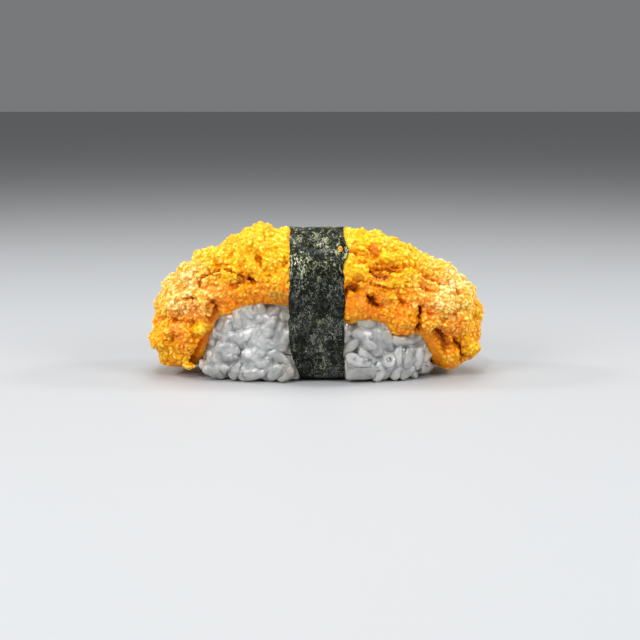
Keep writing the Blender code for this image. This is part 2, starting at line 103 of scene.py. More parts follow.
# Large numbers that scatter the spots of randomCells
scatter = {
    "cell": (73856093, 19349663, 83492791),
    "seed": 2654435,
    "salts": (12345, 67890, 13579, 24680),
    "stirs": ((15, 0x2C1B3C6D), (12, 0x297A2D39)),
    "lastShift": 15,
    "largest": 0xFFFFFFFF,
}


def randomCells(points, size, seed):
    # one random spot per cell of a grid: distance to the nearest and the next, and the nearest one's number
    scaled = points.reshape(-1, 3) / size
    home = np.floor(scaled).astype(np.int64)
    nearest = np.full(len(scaled), 9.0)
    following = np.full(len(scaled), 9.0)
    number = np.zeros(len(scaled))
    for step in itertools.product((-1, 0, 1), repeat=3):
        cell = home + step
        keys = cell * scatter["cell"]
        mixed = keys[:, 0] ^ keys[:, 1] ^ keys[:, 2] ^ (seed * scatter["seed"])
        draws = []
        for salt in scatter["salts"]:
            value = (mixed ^ salt) & scatter["largest"]
            for shift, factor in scatter["stirs"]:
                value = ((value ^ (value >> shift)) * factor) & scatter["largest"]
            draws.append((value ^ (value >> scatter["lastShift"])) / scatter["largest"])
        away = np.linalg.norm(scaled - cell - np.stack(draws[:3], axis=1), axis=1)
        closer = away < nearest
        following = np.where(closer, nearest, np.minimum(following, away))
        number = np.where(closer, draws[3], number)
        nearest = np.where(closer, away, nearest)
    shape = points.shape[:-1]
    return nearest.reshape(shape), following.reshape(shape), number.reshape(shape)


def addObject(name, data):
    item = bpy.data.objects.new(name, data)
    bpy.context.scene.collection.objects.link(item)
    return item


def writeMasks(mesh, masks):
    for label, values in masks.items():
        mesh.attributes.new(label, "FLOAT", "POINT").data.foreach_set("value", values.astype(np.float32))


def makeMesh(name, points, faces, material, masks):
    mesh = bpy.data.meshes.new(name)
    mesh.from_pydata(np.asarray(points).tolist(), [], faces)
    mesh.validate()
    writeMasks(mesh, masks)
    mesh.shade_smooth()
    mesh.materials.append(material)
    return addObject(name, mesh)


def gridFaces(rows, columns, first=0, flip=False):
    corner = first + (np.arange(rows - 1)[:, None] * columns + np.arange(columns - 1)).ravel()
    faces = np.stack((corner, corner + columns, corner + columns + 1, corner + 1), axis=1)
    return (faces[:, ::-1] if flip else faces).tolist()


def gridRim(rows, columns, first=0):
    index = first + np.arange(rows * columns).reshape(rows, columns)
    return [*index[0, :-1], *index[:-1, -1], *index[-1, :0:-1], *index[:0:-1, 0]]


def joinRims(fineRim, coarseRim, coarser, flip):
    # the wall between a fine grid's rim and the rim of one with a point for every so many
    faces = []
    for k, corner in enumerate(fineRim):
        following = fineRim[(k + 1) % len(fineRim)]
        near = coarseRim[(k + coarser // 2) // coarser % len(coarseRim)]
        far = coarseRim[(k + 1 + coarser // 2) // coarser % len(coarseRim)]
        face = [corner, following, near] if near == far else [corner, following, far, near]
        faces.append([int(v) for v in (face[::-1] if flip else face)])
    return faces


def doubleSkin(outer, inner, coarser, flip, looks, hidden):
    # the points, faces and masks of a fine outer grid closed by a coarser inner one, masked by this value
    inner = inner[::coarser, ::coarser]
    first = outer.shape[0] * outer.shape[1]
    points = np.concatenate((outer.reshape(-1, 3), inner.reshape(-1, 3)))
    faces = gridFaces(*outer.shape[:2], flip=flip) + gridFaces(*inner.shape[:2], first, not flip)
    faces += joinRims(gridRim(*outer.shape[:2]), gridRim(*inner.shape[:2], first), coarser, flip)
    inside = np.full(len(points) - first, hidden)
    return points, faces, {label: np.concatenate((mask.ravel(), inside)) for label, mask in looks.items()}


def makeBall():
    # a ball with a radius of 1, and its points
    bm = bmesh.new()
    bmesh.ops.create_icosphere(bm, subdivisions=5, radius=1)
    return bm, np.array([vert.co for vert in bm.verts])


def finishPiece(piece, slot, *nodes):
    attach(piece, "root")
    if nodes:
        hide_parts(*nodes)


# Shader node helpers

def newMaterial(name, **values):
    material = bpy.data.materials.new(name)
    material.use_nodes = True
    shader = material.node_tree.nodes["Principled BSDF"]
    for label, value in values.items():
        shader.inputs[label.replace("_", " ")].default_value = value
    return material, material.node_tree, shader


def addNode(tree, kind, settings=None, **inputs):
    node = tree.nodes.new(kind)
    for label, value in (settings or {}).items():
        setattr(node, label, value)
    for label, value in inputs.items():
        numbered = label[0] == "i" and label[1:].isdigit()
        socket = node.inputs[int(label[1:]) if numbered else label.replace("_", " ")]
        if isinstance(value, bpy.types.NodeSocket):
            tree.links.new(value, socket)
        else:
            socket.default_value = value
    return node


def readMask(tree, label):
    return addNode(tree, "ShaderNodeAttribute", {"attribute_name": label}).outputs["Fac"]


def spreadMask(tree, value, low, high, start=0.0, end=1.0):
    node = addNode(tree, "ShaderNodeMapRange", {"interpolation_type": "SMOOTHSTEP"}, Value=value)
    for label, number in (("From Min", low), ("From Max", high), ("To Min", start), ("To Max", end)):
        node.inputs[label].default_value = number
    return node.outputs["Result"]


def mixColours(tree, share, first, second):
    node = addNode(tree, "ShaderNodeMix", {"data_type": "RGBA"})
    for index, value in ((0, share), (6, first), (7, second)):
        if isinstance(value, bpy.types.NodeSocket):
            tree.links.new(value, node.inputs[index])
        else:
            node.inputs[index].default_value = value if index == 0 else (*value, 1)
    return node.outputs[2]


def calculate(tree, operation, first, second):
    return addNode(tree, "ShaderNodeMath", {"operation": operation}, i0=first, i1=second).outputs[0]


def noiseMask(tree, where, scale, **settings):
    return addNode(tree, "ShaderNodeTexNoise", Vector=where, Scale=scale, **settings).outputs["Fac"]


def newGroup(name, inputs, outputs):
    group = bpy.data.node_groups.new(name, "ShaderNodeTree")
    for label, value in inputs.items():
        group.interface.new_socket(label, in_out="INPUT", socket_type="NodeSocketFloat").default_value = value
    for label in outputs:
        group.interface.new_socket(label, in_out="OUTPUT", socket_type="NodeSocketFloat")
    return group, group.nodes.new("NodeGroupInput").outputs, group.nodes.new("NodeGroupOutput").inputs


def placeGroup(tree, group, **inputs):
    return addNode(tree, "ShaderNodeGroup", {"node_tree": group}, **inputs).outputs


def patchMask(tree, scale, contrast):
    return placeGroup(tree, patches, Scale=scale, Contrast=contrast)["Mask"]


def grainBump(tree, shader, scale, finerShare, distance, strength, lines=None):
    # fine grain as a bump on the surface, with these lines raised on it
    height = placeGroup(tree, fineGrain, Scale=scale, Finer_Share=finerShare)["Height"]
    if lines is not None:
        height = calculate(tree, "ADD", height, lines)
    bump = addNode(tree, "ShaderNodeBump", Height=height, Distance=distance * mm, Strength=strength)
    tree.links.new(bump.outputs[0], shader.inputs["Normal"])


# Broad uneven patches, for colour that drifts over the food
patches, given, wanted = newGroup("uneven patches", {"Scale": 200, "Contrast": 0.2}, ["Mask"])
where = patches.nodes.new("ShaderNodeTexCoord").outputs["Object"]
cloud = noiseMask(patches, where, given["Scale"], Detail=4.0)
lowEnd = calculate(patches, "SUBTRACT", 0.5, given["Contrast"])
highEnd = calculate(patches, "ADD", 0.5, given["Contrast"])
ranged = addNode(patches, "ShaderNodeMapRange", Value=cloud, From_Min=lowEnd, From_Max=highEnd)
patches.links.new(ranged.outputs["Result"], wanted["Mask"])

# Fine grain for bumps: two sizes of noise, the second four times finer
fineGrain, given, wanted = newGroup("fine grain", {"Scale": 1500, "Finer Share": 0.4}, ["Height"])
where = fineGrain.nodes.new("ShaderNodeTexCoord").outputs["Object"]
coarse = noiseMask(fineGrain, where, given["Scale"], Detail=3.0)
fourTimes = calculate(fineGrain, "MULTIPLY", given["Scale"], 4.0)
finer = noiseMask(fineGrain, where, fourTimes, Detail=2.0)
weighed = calculate(fineGrain, "MULTIPLY", finer, given["Finer Share"])
fineGrain.links.new(calculate(fineGrain, "ADD", coarse, weighed), wanted["Height"])


# Camera, at the photo's low angle

camera = {
    "lens": 75,
    "distance": 304,
    "elevation": 10,
    "aim": (0.7, 0, 12.0),
    "sees": (10, 20000),   # from here to here
}


def makeCamera():
    data = bpy.data.cameras.new("camera")
    data.lens = camera["lens"]
    data.clip_start, data.clip_end = inMetres(camera["sees"])
    holder = addObject("camera", data)
    tilt = math.radians(camera["elevation"])
    back = Vector((0, -math.cos(tilt), math.sin(tilt)))
    holder.location = Vector(camera["aim"]) * mm + back * camera["distance"] * mm
    holder.rotation_euler = (-back).to_track_quat("-Z", "Y").to_euler()
    bpy.context.scene.camera = holder


makeCamera()
print("camera set")


# The seaweed strip. Its route comes first, since it presses into the roe and the rice. It starts under
# the rice, goes up the back, over the top and down the front, and its tail tucks under.

strip = {
    "route": [
        (-4, 1.05), (3, 1.0), (9.2, 1.1), (12.6, 3.1), (13.7, 7), (14.6, 13), (15.4, 19), (14.6, 24.5),
        (11.6, 29.3), (6.6, 32.2), (0, 33.1), (-6.6, 32.2), (-11.6, 29.3), (-14.6, 24.5), (-15.4, 19),
        (-14.6, 13), (-13.6, 7), (-12.1, 2.7), (-9, 0.5), (-3, 0.3), (4, 0.3),
    ],
    "halfWidth": 5.95,
    "thickness": 0.24,
    "tuckIn": 3.0,       # how far the left edge slants in at the front foot
    "tuckFrom": 11,      # the height where that slant starts
    "tuckFront": 8,      # it is in full this far to the front
    "bulge": (29.2, 1.6, 1.0),   # the right edge bows out over the roe: height, reach, how far
    "bulgeFront": 6,     # only this far to the front
    "middle": 14,        # height of the point that the strip's reach is measured from
    "grip": 0.1,         # how far past its edges it presses, and over how much that fades
    "gripEase": 0.45,
    "swell": 1.5,        # the roe swells at most this far to touch it
    "rows": 800,
    "columns": 96,
    "coarser": 4,        # the inner side has one cell for this many
    "lowest": 0.03,
    "buckle": (4.5, 0.35),     # slow waves: size and height, and how far in and out they go at most
    "buckleEnds": (-0.12, 0.3),
    "crinkle": (0.9, 0.11),
    "tears": [(3, 0.3), (0.8, 0.2), (0.35, 0.08)],    # of its edges: sizes and heights
    "wavesBegin": (0.13, 0.17),        # shares of its length between which it starts to crinkle
    "wavesEnd": (0.93, 0.86),
    "squiggles": (0.56, 0.26, 0.1),    # curled ridges: size, width as a share, height
    "drawnOut": 0.55,          # their width as a share of their length
}


def stripReach(angles):
    # distance from the strip's middle to the inside of its ring, at these angles from straight up
    line = smoothLine(strip["route"][:-2], np.linspace(0, 1, 400))
    y, z = line[:, 0], line[:, 1] - strip["middle"]
    turn = np.unwrap(np.arctan2(y, z))
    order = np.argsort(turn)
    turn, reach = turn[order], np.hypot(y, z)[order]
    return np.interp(angles, turn, reach, period=2 * math.pi) * mm


def stripLeft(points):
    low = np.clip(1 - points[..., 2] / (strip["tuckFrom"] * mm), 0, 1)
    front = np.clip(-points[..., 1] / (strip["tuckFront"] * mm), 0, 1)
    return (-strip["halfWidth"] + strip["tuckIn"] * front * low * low) * mm


def stripRight(points):
    height, reach, bow = strip["bulge"]
    out = bow * np.exp(-((points[..., 2] / mm - height) / reach) ** 2)
    return (strip["halfWidth"] + out * (points[..., 1] < -strip["bulgeFront"] * mm)) * mm


def fromStripMiddle(points):
    # how far these points are from the strip's middle line, and how far the inside of its ring is there
    y, z = points[..., 1], points[..., 2] - strip["middle"] * mm
    return np.hypot(y, z), stripReach(np.arctan2(y, z))


def scaleFromStripMiddle(points, scale):
    middle = strip["middle"] * mm
    moved = points.copy()
    moved[..., 1] = points[..., 1] * scale
    moved[..., 2] = (points[..., 2] - middle) * scale + middle
    return moved


def pressUnderStrip(points, clear):
    # draws in whatever lies under the strip, to this far below it
    radius, reach = fromStripMiddle(points)
    grip, ease = strip["grip"] * mm, strip["gripEase"] * mm
    left = smoothstep(-ease, 0, points[..., 0] - stripLeft(points) + grip)
    right = smoothstep(-ease, 0, stripRight(points) + grip - points[..., 0])
    over = np.clip(radius - (reach - clear), 0, None)
    return scaleFromStripMiddle(points, 1 - left * right * over / np.maximum(radius, 1e-9))


def swellToStrip(points, near):
    # lets what lies under and beside the strip swell until it touches the ring
    radius, reach = fromStripMiddle(points)
    missing = np.clip(reach - radius, 0, strip["swell"] * mm)
    return scaleFromStripMiddle(points, 1 + near * missing / np.maximum(radius, 1e-9))


# Roe

roe = {
    "halfLength": 37.1,
    "halfDepth": 16.3,
    "top": 33.2,
    "outline": [
        (-32, -0.8), (-35.6, 2.2), (-37, 6.5), (-37.2, 11.5), (-35.9, 17), (-33.4, 21.6), (-29.8, 25),
        (-25.4, 28.6), (-20.8, 30.2), (-16.5, 32.8), (-12.4, 34), (-8.6, 32.7), (0, 33.2), (7.6, 32.6),
        (15.5, 31), (21.2, 28.6), (28, 25.2), (32.6, 22.4), (35.6, 18.6), (37.2, 12), (37, 7),
        (36.6, 3.5), (33.8, 0.6),
    ],
    "frontLip": [
        (-26.2, 3), (-25.4, 4.3), (-24.5, 5), (-24.1, 6.8), (-23.6, 9), (-23, 11.2), (-22.3, 13.4),
        (-21.2, 14.4), (-19.8, 14.8), (-18.4, 15.3), (-16.9, 16.2), (-14.5, 16.9), (-11.6, 17.3), (-6, 16.9),
        (6, 13.5), (9, 13.7), (12, 14), (15, 13.1), (16.3, 11), (19.5, 10.4), (22.4, 10.2), (24, 7.8),
        (24.9, 4.5), (25.2, 1),
    ],
    "backLip": [
        (-25.3, 1), (-24.2, 7), (-20, 12.5), (-11, 15), (0, 14), (10, 16.4), (17, 14.8), (23, 9),
        (24.8, 4), (25.2, 1),
    ],
    "squareness": 2.55,
    "lipRounding": 7,
    "footRounding": 13,
    "tipRounding": 10,
    "seat": 0.06,          # share of its thickness that the rim keeps where it lies on the rice
    "sunk": 0.35,          # how deep the roe has settled into the grains
    "foot": 0.8,           # how far the lowest roe stays above the surface
    "footEase": 2.2,
    "drop": (30, -4, 2.5, 2.6),   # the soft drop at the right foot: x, y, reach, fall
    "dropFrom": (9, 6),    # the height where the fall starts, and over how much it grows to the full
    "waves": (9, 1.0),     # size and height
    "clumps": [(4.6, 2.6), (2.8, 1.7)],
    "deepest": 0.7,        # of the thickness
    # for each half: rows along it, and columns over its front and top and down its back
    "rows": 364,
    "columns": (236, 128),
    "backFrom": 0.2,       # share of the way down the back where its own piece starts
    "coarser": 4,          # the hidden underside has one cell for this many, so they are multiples of it
    "flank": (30, 21, 6),  # both shoulders carry painted glints, palest here: x, z, reach
    "ends": (0.055, 0.9985),    # shares of the half length where each half starts, under the strip, and ends
    "crowding": 0.5,       # how much closer the columns lie near the lips
    "marksFrom": (0.05, 0.35),  # shares of the rim's rise between which lumps and cracks appear
    "grainFrom": (0.02, 0.25),  # and granules
    "besideStrip": (10, 6.5, 0.7),   # the clumps are this much flatter at the strip: between these, share
    "pressed": 0.3,        # how far under the strip the roe is pressed
    "turn": 4,             # this far from the middle line the front's and back's marks are in full
}

# Cracks and pits: points along X and Z, then width and depth
frontCracks = [
    ([(-13.1, 27.7), (-12.4, 26.6)], 0.8, 1.9),
    ([(-12.5, 26.4), (-11.7, 24.8)], 1.0, 1.3),
    ([(-18.4, 21.5), (-16.4, 22.4), (-14.4, 23.2)], 0.9, 1.7),
    ([(-15, 23.4), (-14, 22.8)], 0.6, 2.6),
    ([(-21.9, 26.4), (-20.1, 26.2)], 0.9, 1.3),
    ([(-22.8, 23.8), (-21.6, 23.3)], 0.8, 1.1),
    ([(-22.5, 16.4), (-23.8, 14.2), (-23.4, 12.2), (-24.6, 10), (-26.8, 7), (-27.5, 5.4), (-28.8, 3.4)],
     0.45, 2.3),
    ([(-22.9, 17.8), (-23.3, 17)], 0.6, 1.2),
    ([(-32.3, 13.6), (-30.5, 15.1)], 1.1, 1.4),
    ([(-32.6, 8.8), (-31.2, 9.6)], 1.0, 1.3),
    ([(-7.4, 26.6), (-6.5, 27.2)], 0.8, 1.5),
    ([(5.7, 20.2), (7.2, 22.1), (8.6, 21.6)], 0.75, 2.5),
    ([(12.2, 30.2), (13.2, 29.3)], 1.3, 1.7),
    ([(9.6, 26.7), (10.6, 27.1)], 0.9, 1.5),
    ([(12.4, 25.4), (13.7, 24.2), (15.2, 24)], 1.5, 2.0),
    ([(13, 26.1), (16.1, 25.7), (18.2, 25.2)], 0.9, 1.7),
    ([(11.7, 19.2), (12.3, 18.4), (13.5, 17.1)], 0.9, 2.5),
    ([(17.2, 21.3), (17.9, 20), (18.7, 18.5)], 0.9, 1.4),
    ([(22.7, 17), (22.4, 14), (22.2, 10.7)], 0.7, 2.3),
    ([(23.7, 22), (26.3, 20.4)], 0.9, 1.3),
    ([(26.3, 10.8), (27.2, 9.4), (28.4, 7.7)], 1.1, 2.1),
    ([(31.2, 7.9), (32.3, 7.1), (32.8, 4.8)], 0.9, 2.2),
    # long creases between the ridges
    ([(-26.5, 22.2), (-23.5, 24.4), (-20.5, 25.2), (-17.5, 24.2), (-14.6, 23)], 0.5, 1.5),
    ([(-31.5, 17.5), (-28.5, 18.9), (-26.4, 17.8)], 0.5, 1.2),
    ([(-27.4, 13.4), (-27.6, 11.3), (-26.3, 9.8)], 0.5, 1.2),
    ([(7.5, 29.2), (11, 28.2), (14.6, 26.9), (21, 25.8), (27, 23.4), (32, 19.6)], 0.5, 1.5),
    ([(15.5, 30.8), (22.6, 27.6), (30, 23.6)], 0.5, 1.3),
    ([(8.4, 23.4), (11, 22.6), (14.2, 21.8), (17.2, 21.2)], 0.5, 1.3),
]
# Lumps that stand proud of the front, or hollows below zero: x, z, reach along X, reach along Z, height
frontLumps = [
    (-29.8, 8, 3, 6.5, 0.5), (-25.5, 12, 1.2, 1.3, 1.7), (-35, 7.8, 1.5, 2, 0.7),
    (-20, 20.6, 4.4, 2.5, -0.5), (9, 18.3, 2.8, 2.3, 0.5), (26.2, 6.4, 1.5, 3.2, -0.8),
    (30, 4.4, 1.7, 2.2, 0.7), (34.8, 6.6, 1.7, 1.9, 1.2), (-16.5, 30.5, 5, 2.4, 0.5), (19, 14, 3.2, 3, 0.5),
]
backCracks = [
    ([(-20, 24), (-15, 20), (-13, 16.5)], 1.8, 2.2),
    ([(-29, 17), (-26, 11)], 1.8, 2.0),
    ([(9, 28), (12, 24), (11, 19)], 1.8, 2.4),
    ([(20, 24), (25, 19)], 1.8, 1.8),
    ([(31, 13), (30, 8)], 1.6, 1.7),
]

# The rice block under everything: a rounded box about its heart
block = {
    "heart": 8, "halfLength": 26.4, "halfDepth": 12.6, "height": 20, "footDrop": 15, "squareness": 3.2,
    "endDepth": 0.04,      # at its ends the sides keep this share, as a power, of the depth
}
heart = np.array((0, 0, block["heart"])) * mm


def blockReach(ways, grow=0.0):
    rise = np.where(ways[..., 2] > 0, block["height"] - block["heart"] + grow, block["footDrop"])
    parts = np.stack((
        ways[..., 0] / (block["halfLength"] + grow),
        ways[..., 1] / (block["halfDepth"] + grow),
        ways[..., 2] / rise,
    )) / mm
    return (np.abs(parts) ** block["squareness"]).sum(0) ** (-1 / block["squareness"])


def blockSide(line, side):
    # points on the block's front or back at these places along X and heights
    points, power = [], block["squareness"]
    for x, z in line:
        rise = z - block["heart"]
        height = block["height"] - block["heart"] if rise > 0 else block["footDrop"]
        free = 1 - abs(x / block["halfLength"]) ** power - abs(rise / height) ** power
        points.append((x, side * block["halfDepth"] * max(free, block["endDepth"]) ** (1 / power), z))
    return points


roeScale = np.array((roe["halfLength"], roe["halfDepth"], roe["top"] - block["heart"])) * mm
roeRidge = [(x, 0, z) for x, z in roe["outline"]]


def roeReach(ways):
    ridge = (smoothLine(roeRidge, np.linspace(0, 1, 400)) * mm - heart) / roeScale
    shares = ways / roeScale
    angles = np.arctan2(shares[..., 0], shares[..., 2])
    length = np.interp(angles, np.arctan2(ridge[:, 0], ridge[:, 2]), np.linalg.norm(ridge, axis=1))
    flat = np.hypot(shares[..., 0], shares[..., 2])
    power = roe["squareness"]
    return ((flat / length) ** power + np.abs(shares[..., 1]) ** power) ** (-1 / power)


def raggedPlaces(points, size, seeds, stray):
    # their places along X and Z in mm, astray by noise of this size
    return points[..., (0, 2)] / mm + stray * noiseVectors(points, size * mm, seeds)


def fromSegment(places, start, end):
    # a line's way from start to end, and how these places lie from the nearest point on it
    way = end - start
    share = np.clip(((places - start) @ way) / (way @ way), 0, 1)
    return way, places - start - share[..., None] * way


def spotReach(points, x, z, reachX, reachZ):
    # how far these points are from a spot of the front, in its own reaches
    return np.hypot((points[..., 0] / mm - x) / reachX, (points[..., 2] / mm - z) / reachZ)


def crackDepth(points, cracks, stray=0.55):
    places = raggedPlaces(points, 1.3, (31, 32), stray)
    deepest = np.zeros(points.shape[:-1])
    for line, width, depth in cracks:
        for start, end in zip(np.array(line, float), np.array(line[1:], float)):
            away = np.linalg.norm(fromSegment(places, start, end)[1], axis=-1)
            deepest = np.maximum(deepest, depth * np.exp(-((away / width) ** 2)))
    return deepest * mm


# The edge of the left lobe, which folds over the smooth roe beside the rice: points along X and Z, then how
# far the lobe stands up on its left and over how much, and how deep the roe is sunk on its right
fold = {
    "line": [
        (-24.5, 18.9), (-23.6, 18), (-22.6, 16.9), (-22.9, 15.8), (-24.1, 14.2), (-23.7, 12.3), (-23.8, 11.3),
        (-24.9, 10.3), (-26, 9.2), (-27.1, 7), (-27.8, 5.4), (-29.1, 3.5), (-29.5, 1),
    ],
    "up": (1.2, 3.2), "down": (1.5, 2.4), "sharpness": 0.22, "shade": 1.7,
    "top": (19.5, 17),     # it fades out between these heights
    "foot": (-0.5, 2.5),
}


def foldHeight(points):
    # the height of the fold, and a mask of the roe under its edge, which is painted in shade
    places = raggedPlaces(points, 0.9, (33, 34), 0.3)
    nearest, right = np.full(points.shape[:-1], 99.0), np.zeros(points.shape[:-1])
    line = np.array(fold["line"])
    for start, end in zip(line, line[1:]):
        way, apart = fromSegment(places, start, end)
        away = np.linalg.norm(apart, axis=-1)
        turn = np.sign(way[0] * apart[..., 1] - way[1] * apart[..., 0])
        right = np.where(away < nearest, turn, right)
        nearest = np.minimum(away, nearest)
    over = smoothstep(-fold["sharpness"], fold["sharpness"], nearest * right)
    up = fold["up"][0] * np.exp(-((nearest / fold["up"][1]) ** 2)) * (1 - over)
    down = fold["down"][0] * np.exp(-((nearest / fold["down"][1]) ** 2)) * over
    ends = smoothstep(*fold["top"], places[..., 1]) * smoothstep(*fold["foot"], places[..., 1])
    return (up - down) * ends * mm, over * ends * np.exp(-((nearest / fold["shade"]) ** 2))


def lumpHeight(points):
    height = np.zeros(points.shape[:-1])
    for *spot, rise in frontLumps:
        height += rise * np.exp(-spotReach(points, *spot) ** 2)
    return height * mm


def unevenness(points):
    # the long waves and the clumps with creases between
    height = roe["waves"][1] * mm * softNoise(points, roe["waves"][0] * mm)
    for size, rise in roe["clumps"]:
        height += rise * mm * (0.25 - nearestLump(points, size * mm))
    return height


def frontAndBackMarks(points):
    # the height of the lumps, the fold and the cracks together, the cracks' depth, and the mask of the fold's
    # painted shade
    turn = np.clip(np.abs(points[..., 1]) / (roe["turn"] * mm), 0, 1)
    front = points[..., 1] < 0
    cracks = turn * np.where(front, crackDepth(points, frontCracks), crackDepth(points, backCracks))
    folded, foldShade = foldHeight(points)
    return turn * front * (lumpHeight(points) + folded) - cracks, cracks, foldShade * front


def settle(points):
    x, y, reach, fall = inMetres(roe["drop"])
    away = np.hypot(points[..., 0] - x, points[..., 1] - y) / reach
    start, growth = inMetres(roe["dropFrom"])
    low = np.clip((start - points[..., 2]) / growth, 0, 1)
    height = points[..., 2] - fall * low * np.exp(-away * away)
    floor, ease = roe["foot"] * mm, roe["footEase"] * mm
    eased = floor + ease * np.exp(np.minimum(height - floor - ease, 0) / ease)
    settled = points.copy()
    settled[..., 2] = np.where(height < floor + ease, eased, height)
    return settled


def roeRays(places, acrosses):
    # directions from the heart: each row runs from the front lip over the ridge to the back lip
    shares = (places + 1) / 2
    lines = (roeRidge, blockSide(roe["frontLip"], -1), blockSide(roe["backLip"], 1))
    top, front, back = (unit((smoothLine(line, shares) * mm - heart) / roeScale) for line in lines)
    tip = (1 - np.abs(places) ** roe["tipRounding"]) ** 0.5
    u = np.abs(acrosses)[None, :, None] * tip[:, None, None]
    lip = np.where((acrosses > 0)[None, :, None], back[:, None], front[:, None])
    angle = np.arccos(np.clip((top[:, None] * lip).sum(-1, keepdims=True), -1, 1))
    ways = (np.sin((1 - u) * angle) * top[:, None] + np.sin(u * angle) * lip) / np.sin(angle)
    return ways * roeScale


granules = {
    # crumbs of the roe, the grains that they are made of, and pits in some cells; widths as shares of a size
    "lumps": {"size": 1.7, "height": 0.34, "seam": 0.32},
    "beads": {"size": 0.7, "height": 0.34, "width": 0.52, "spread": 0.2},
    "pits": {"size": 2.7, "depth": 0.8, "width": 0.26, "share": 0.2},
    "wander": (1.1, 0.16),      # noise by which they stray from their cells: size, how far
}


def fineRelief(points, calm):
    # crumbs, beads and pits on top of the coarse form, fainter where the roe is calm and smooth
    lumps, beads, pits = (granules[label] for label in ("lumps", "beads", "pits"))
    size, stray = granules["wander"]
    stray = stray * mm * noiseVectors(points, size * mm, (1, 2, 3))
    lump, nextLump, _ = randomCells(points + stray, lumps["size"] * mm, 3)
    bead, _, own = randomCells(points + stray, beads["size"] * mm, 5)
    pit, _, pitNumber = randomCells(points + 3 * stray, pits["size"] * mm, 11)
    seam = 1 - smoothstep(0, lumps["seam"], nextLump - lump)
    width = beads["width"] + beads["spread"] * own
    crown = np.sqrt(np.clip(1 - (bead / width) ** 2, 0, 1)) * (0.7 + 0.3 * own)
    hole = np.where(pitNumber < pits["share"], np.exp(-((pit / pits["width"]) ** 2)), 0) * (1 - 0.7 * calm)
    relief = lumps["height"] * mm * (0.4 - seam) * (1 - 0.5 * calm)
    relief += beads["height"] * mm * (crown - 0.5) * (1 - 0.4 * calm)
    return relief - pits["depth"] * mm * hole, crown, seam, hole


# Calm, smooth orange areas of the roe's front: x, z, reach along X, reach along Z, how calm
calmSpots = [
    (-20, 20.6, 4.6, 3, 0.55), (-17, 17.8, 7.5, 1.4, 0.5), (-8.5, 18.8, 4, 1.8, 0.6),
    (8.8, 17.2, 2.8, 2.6, 0.7), (26.4, 6, 1.6, 3.6, 0.9), (-25.2, 7, 1.2, 5, 1), (30, 3, 1.8, 2.4, 0.6),
]

# The yellow lump at the edge of the fold
sunnySpots = [(-25.5, 12, 1.7, 1.7, 1)]

# Olive, glassy places where the roe is thin or wet
oliveSpots = [
    (-9, 20, 3.4, 1.2, 0.6), (9.6, 21.8, 2.2, 0.9, 0.6), (15, 18.2, 1.6, 1.1, 0.6),
    (19, 12.9, 2.6, 0.9, 0.6),
]


def frontMask(points, spots):
    mask = np.zeros(points.shape[:-1])
    for *spot, share in spots:
        mask = np.maximum(mask, share * np.exp(-spotReach(points, *spot) ** 4))
    return mask * smoothstep(0, -6 * mm, points[..., 1])


# How much each of these turns the roe from yellow to orange, or back where it is below zero
roeTint = {
    "low": 0.4,
    "lowFrom": (30, 18),       # heights between which it turns
    "lowest": (12, 5, 0.25),   # and turns back, painted light as if bounced up from the floor: between these heights, share
    "nearLip": 0.3,
    "calm": 0.4,
    # painted shade on roe that faces down
    "undersideShade": 0.15,
    "drift": (4, 0.4),         # noise: size, share
    # painted glints on the shoulders turn them back to yellow
    "flankGlint": -0.6,
    "sunny": -0.7,
}


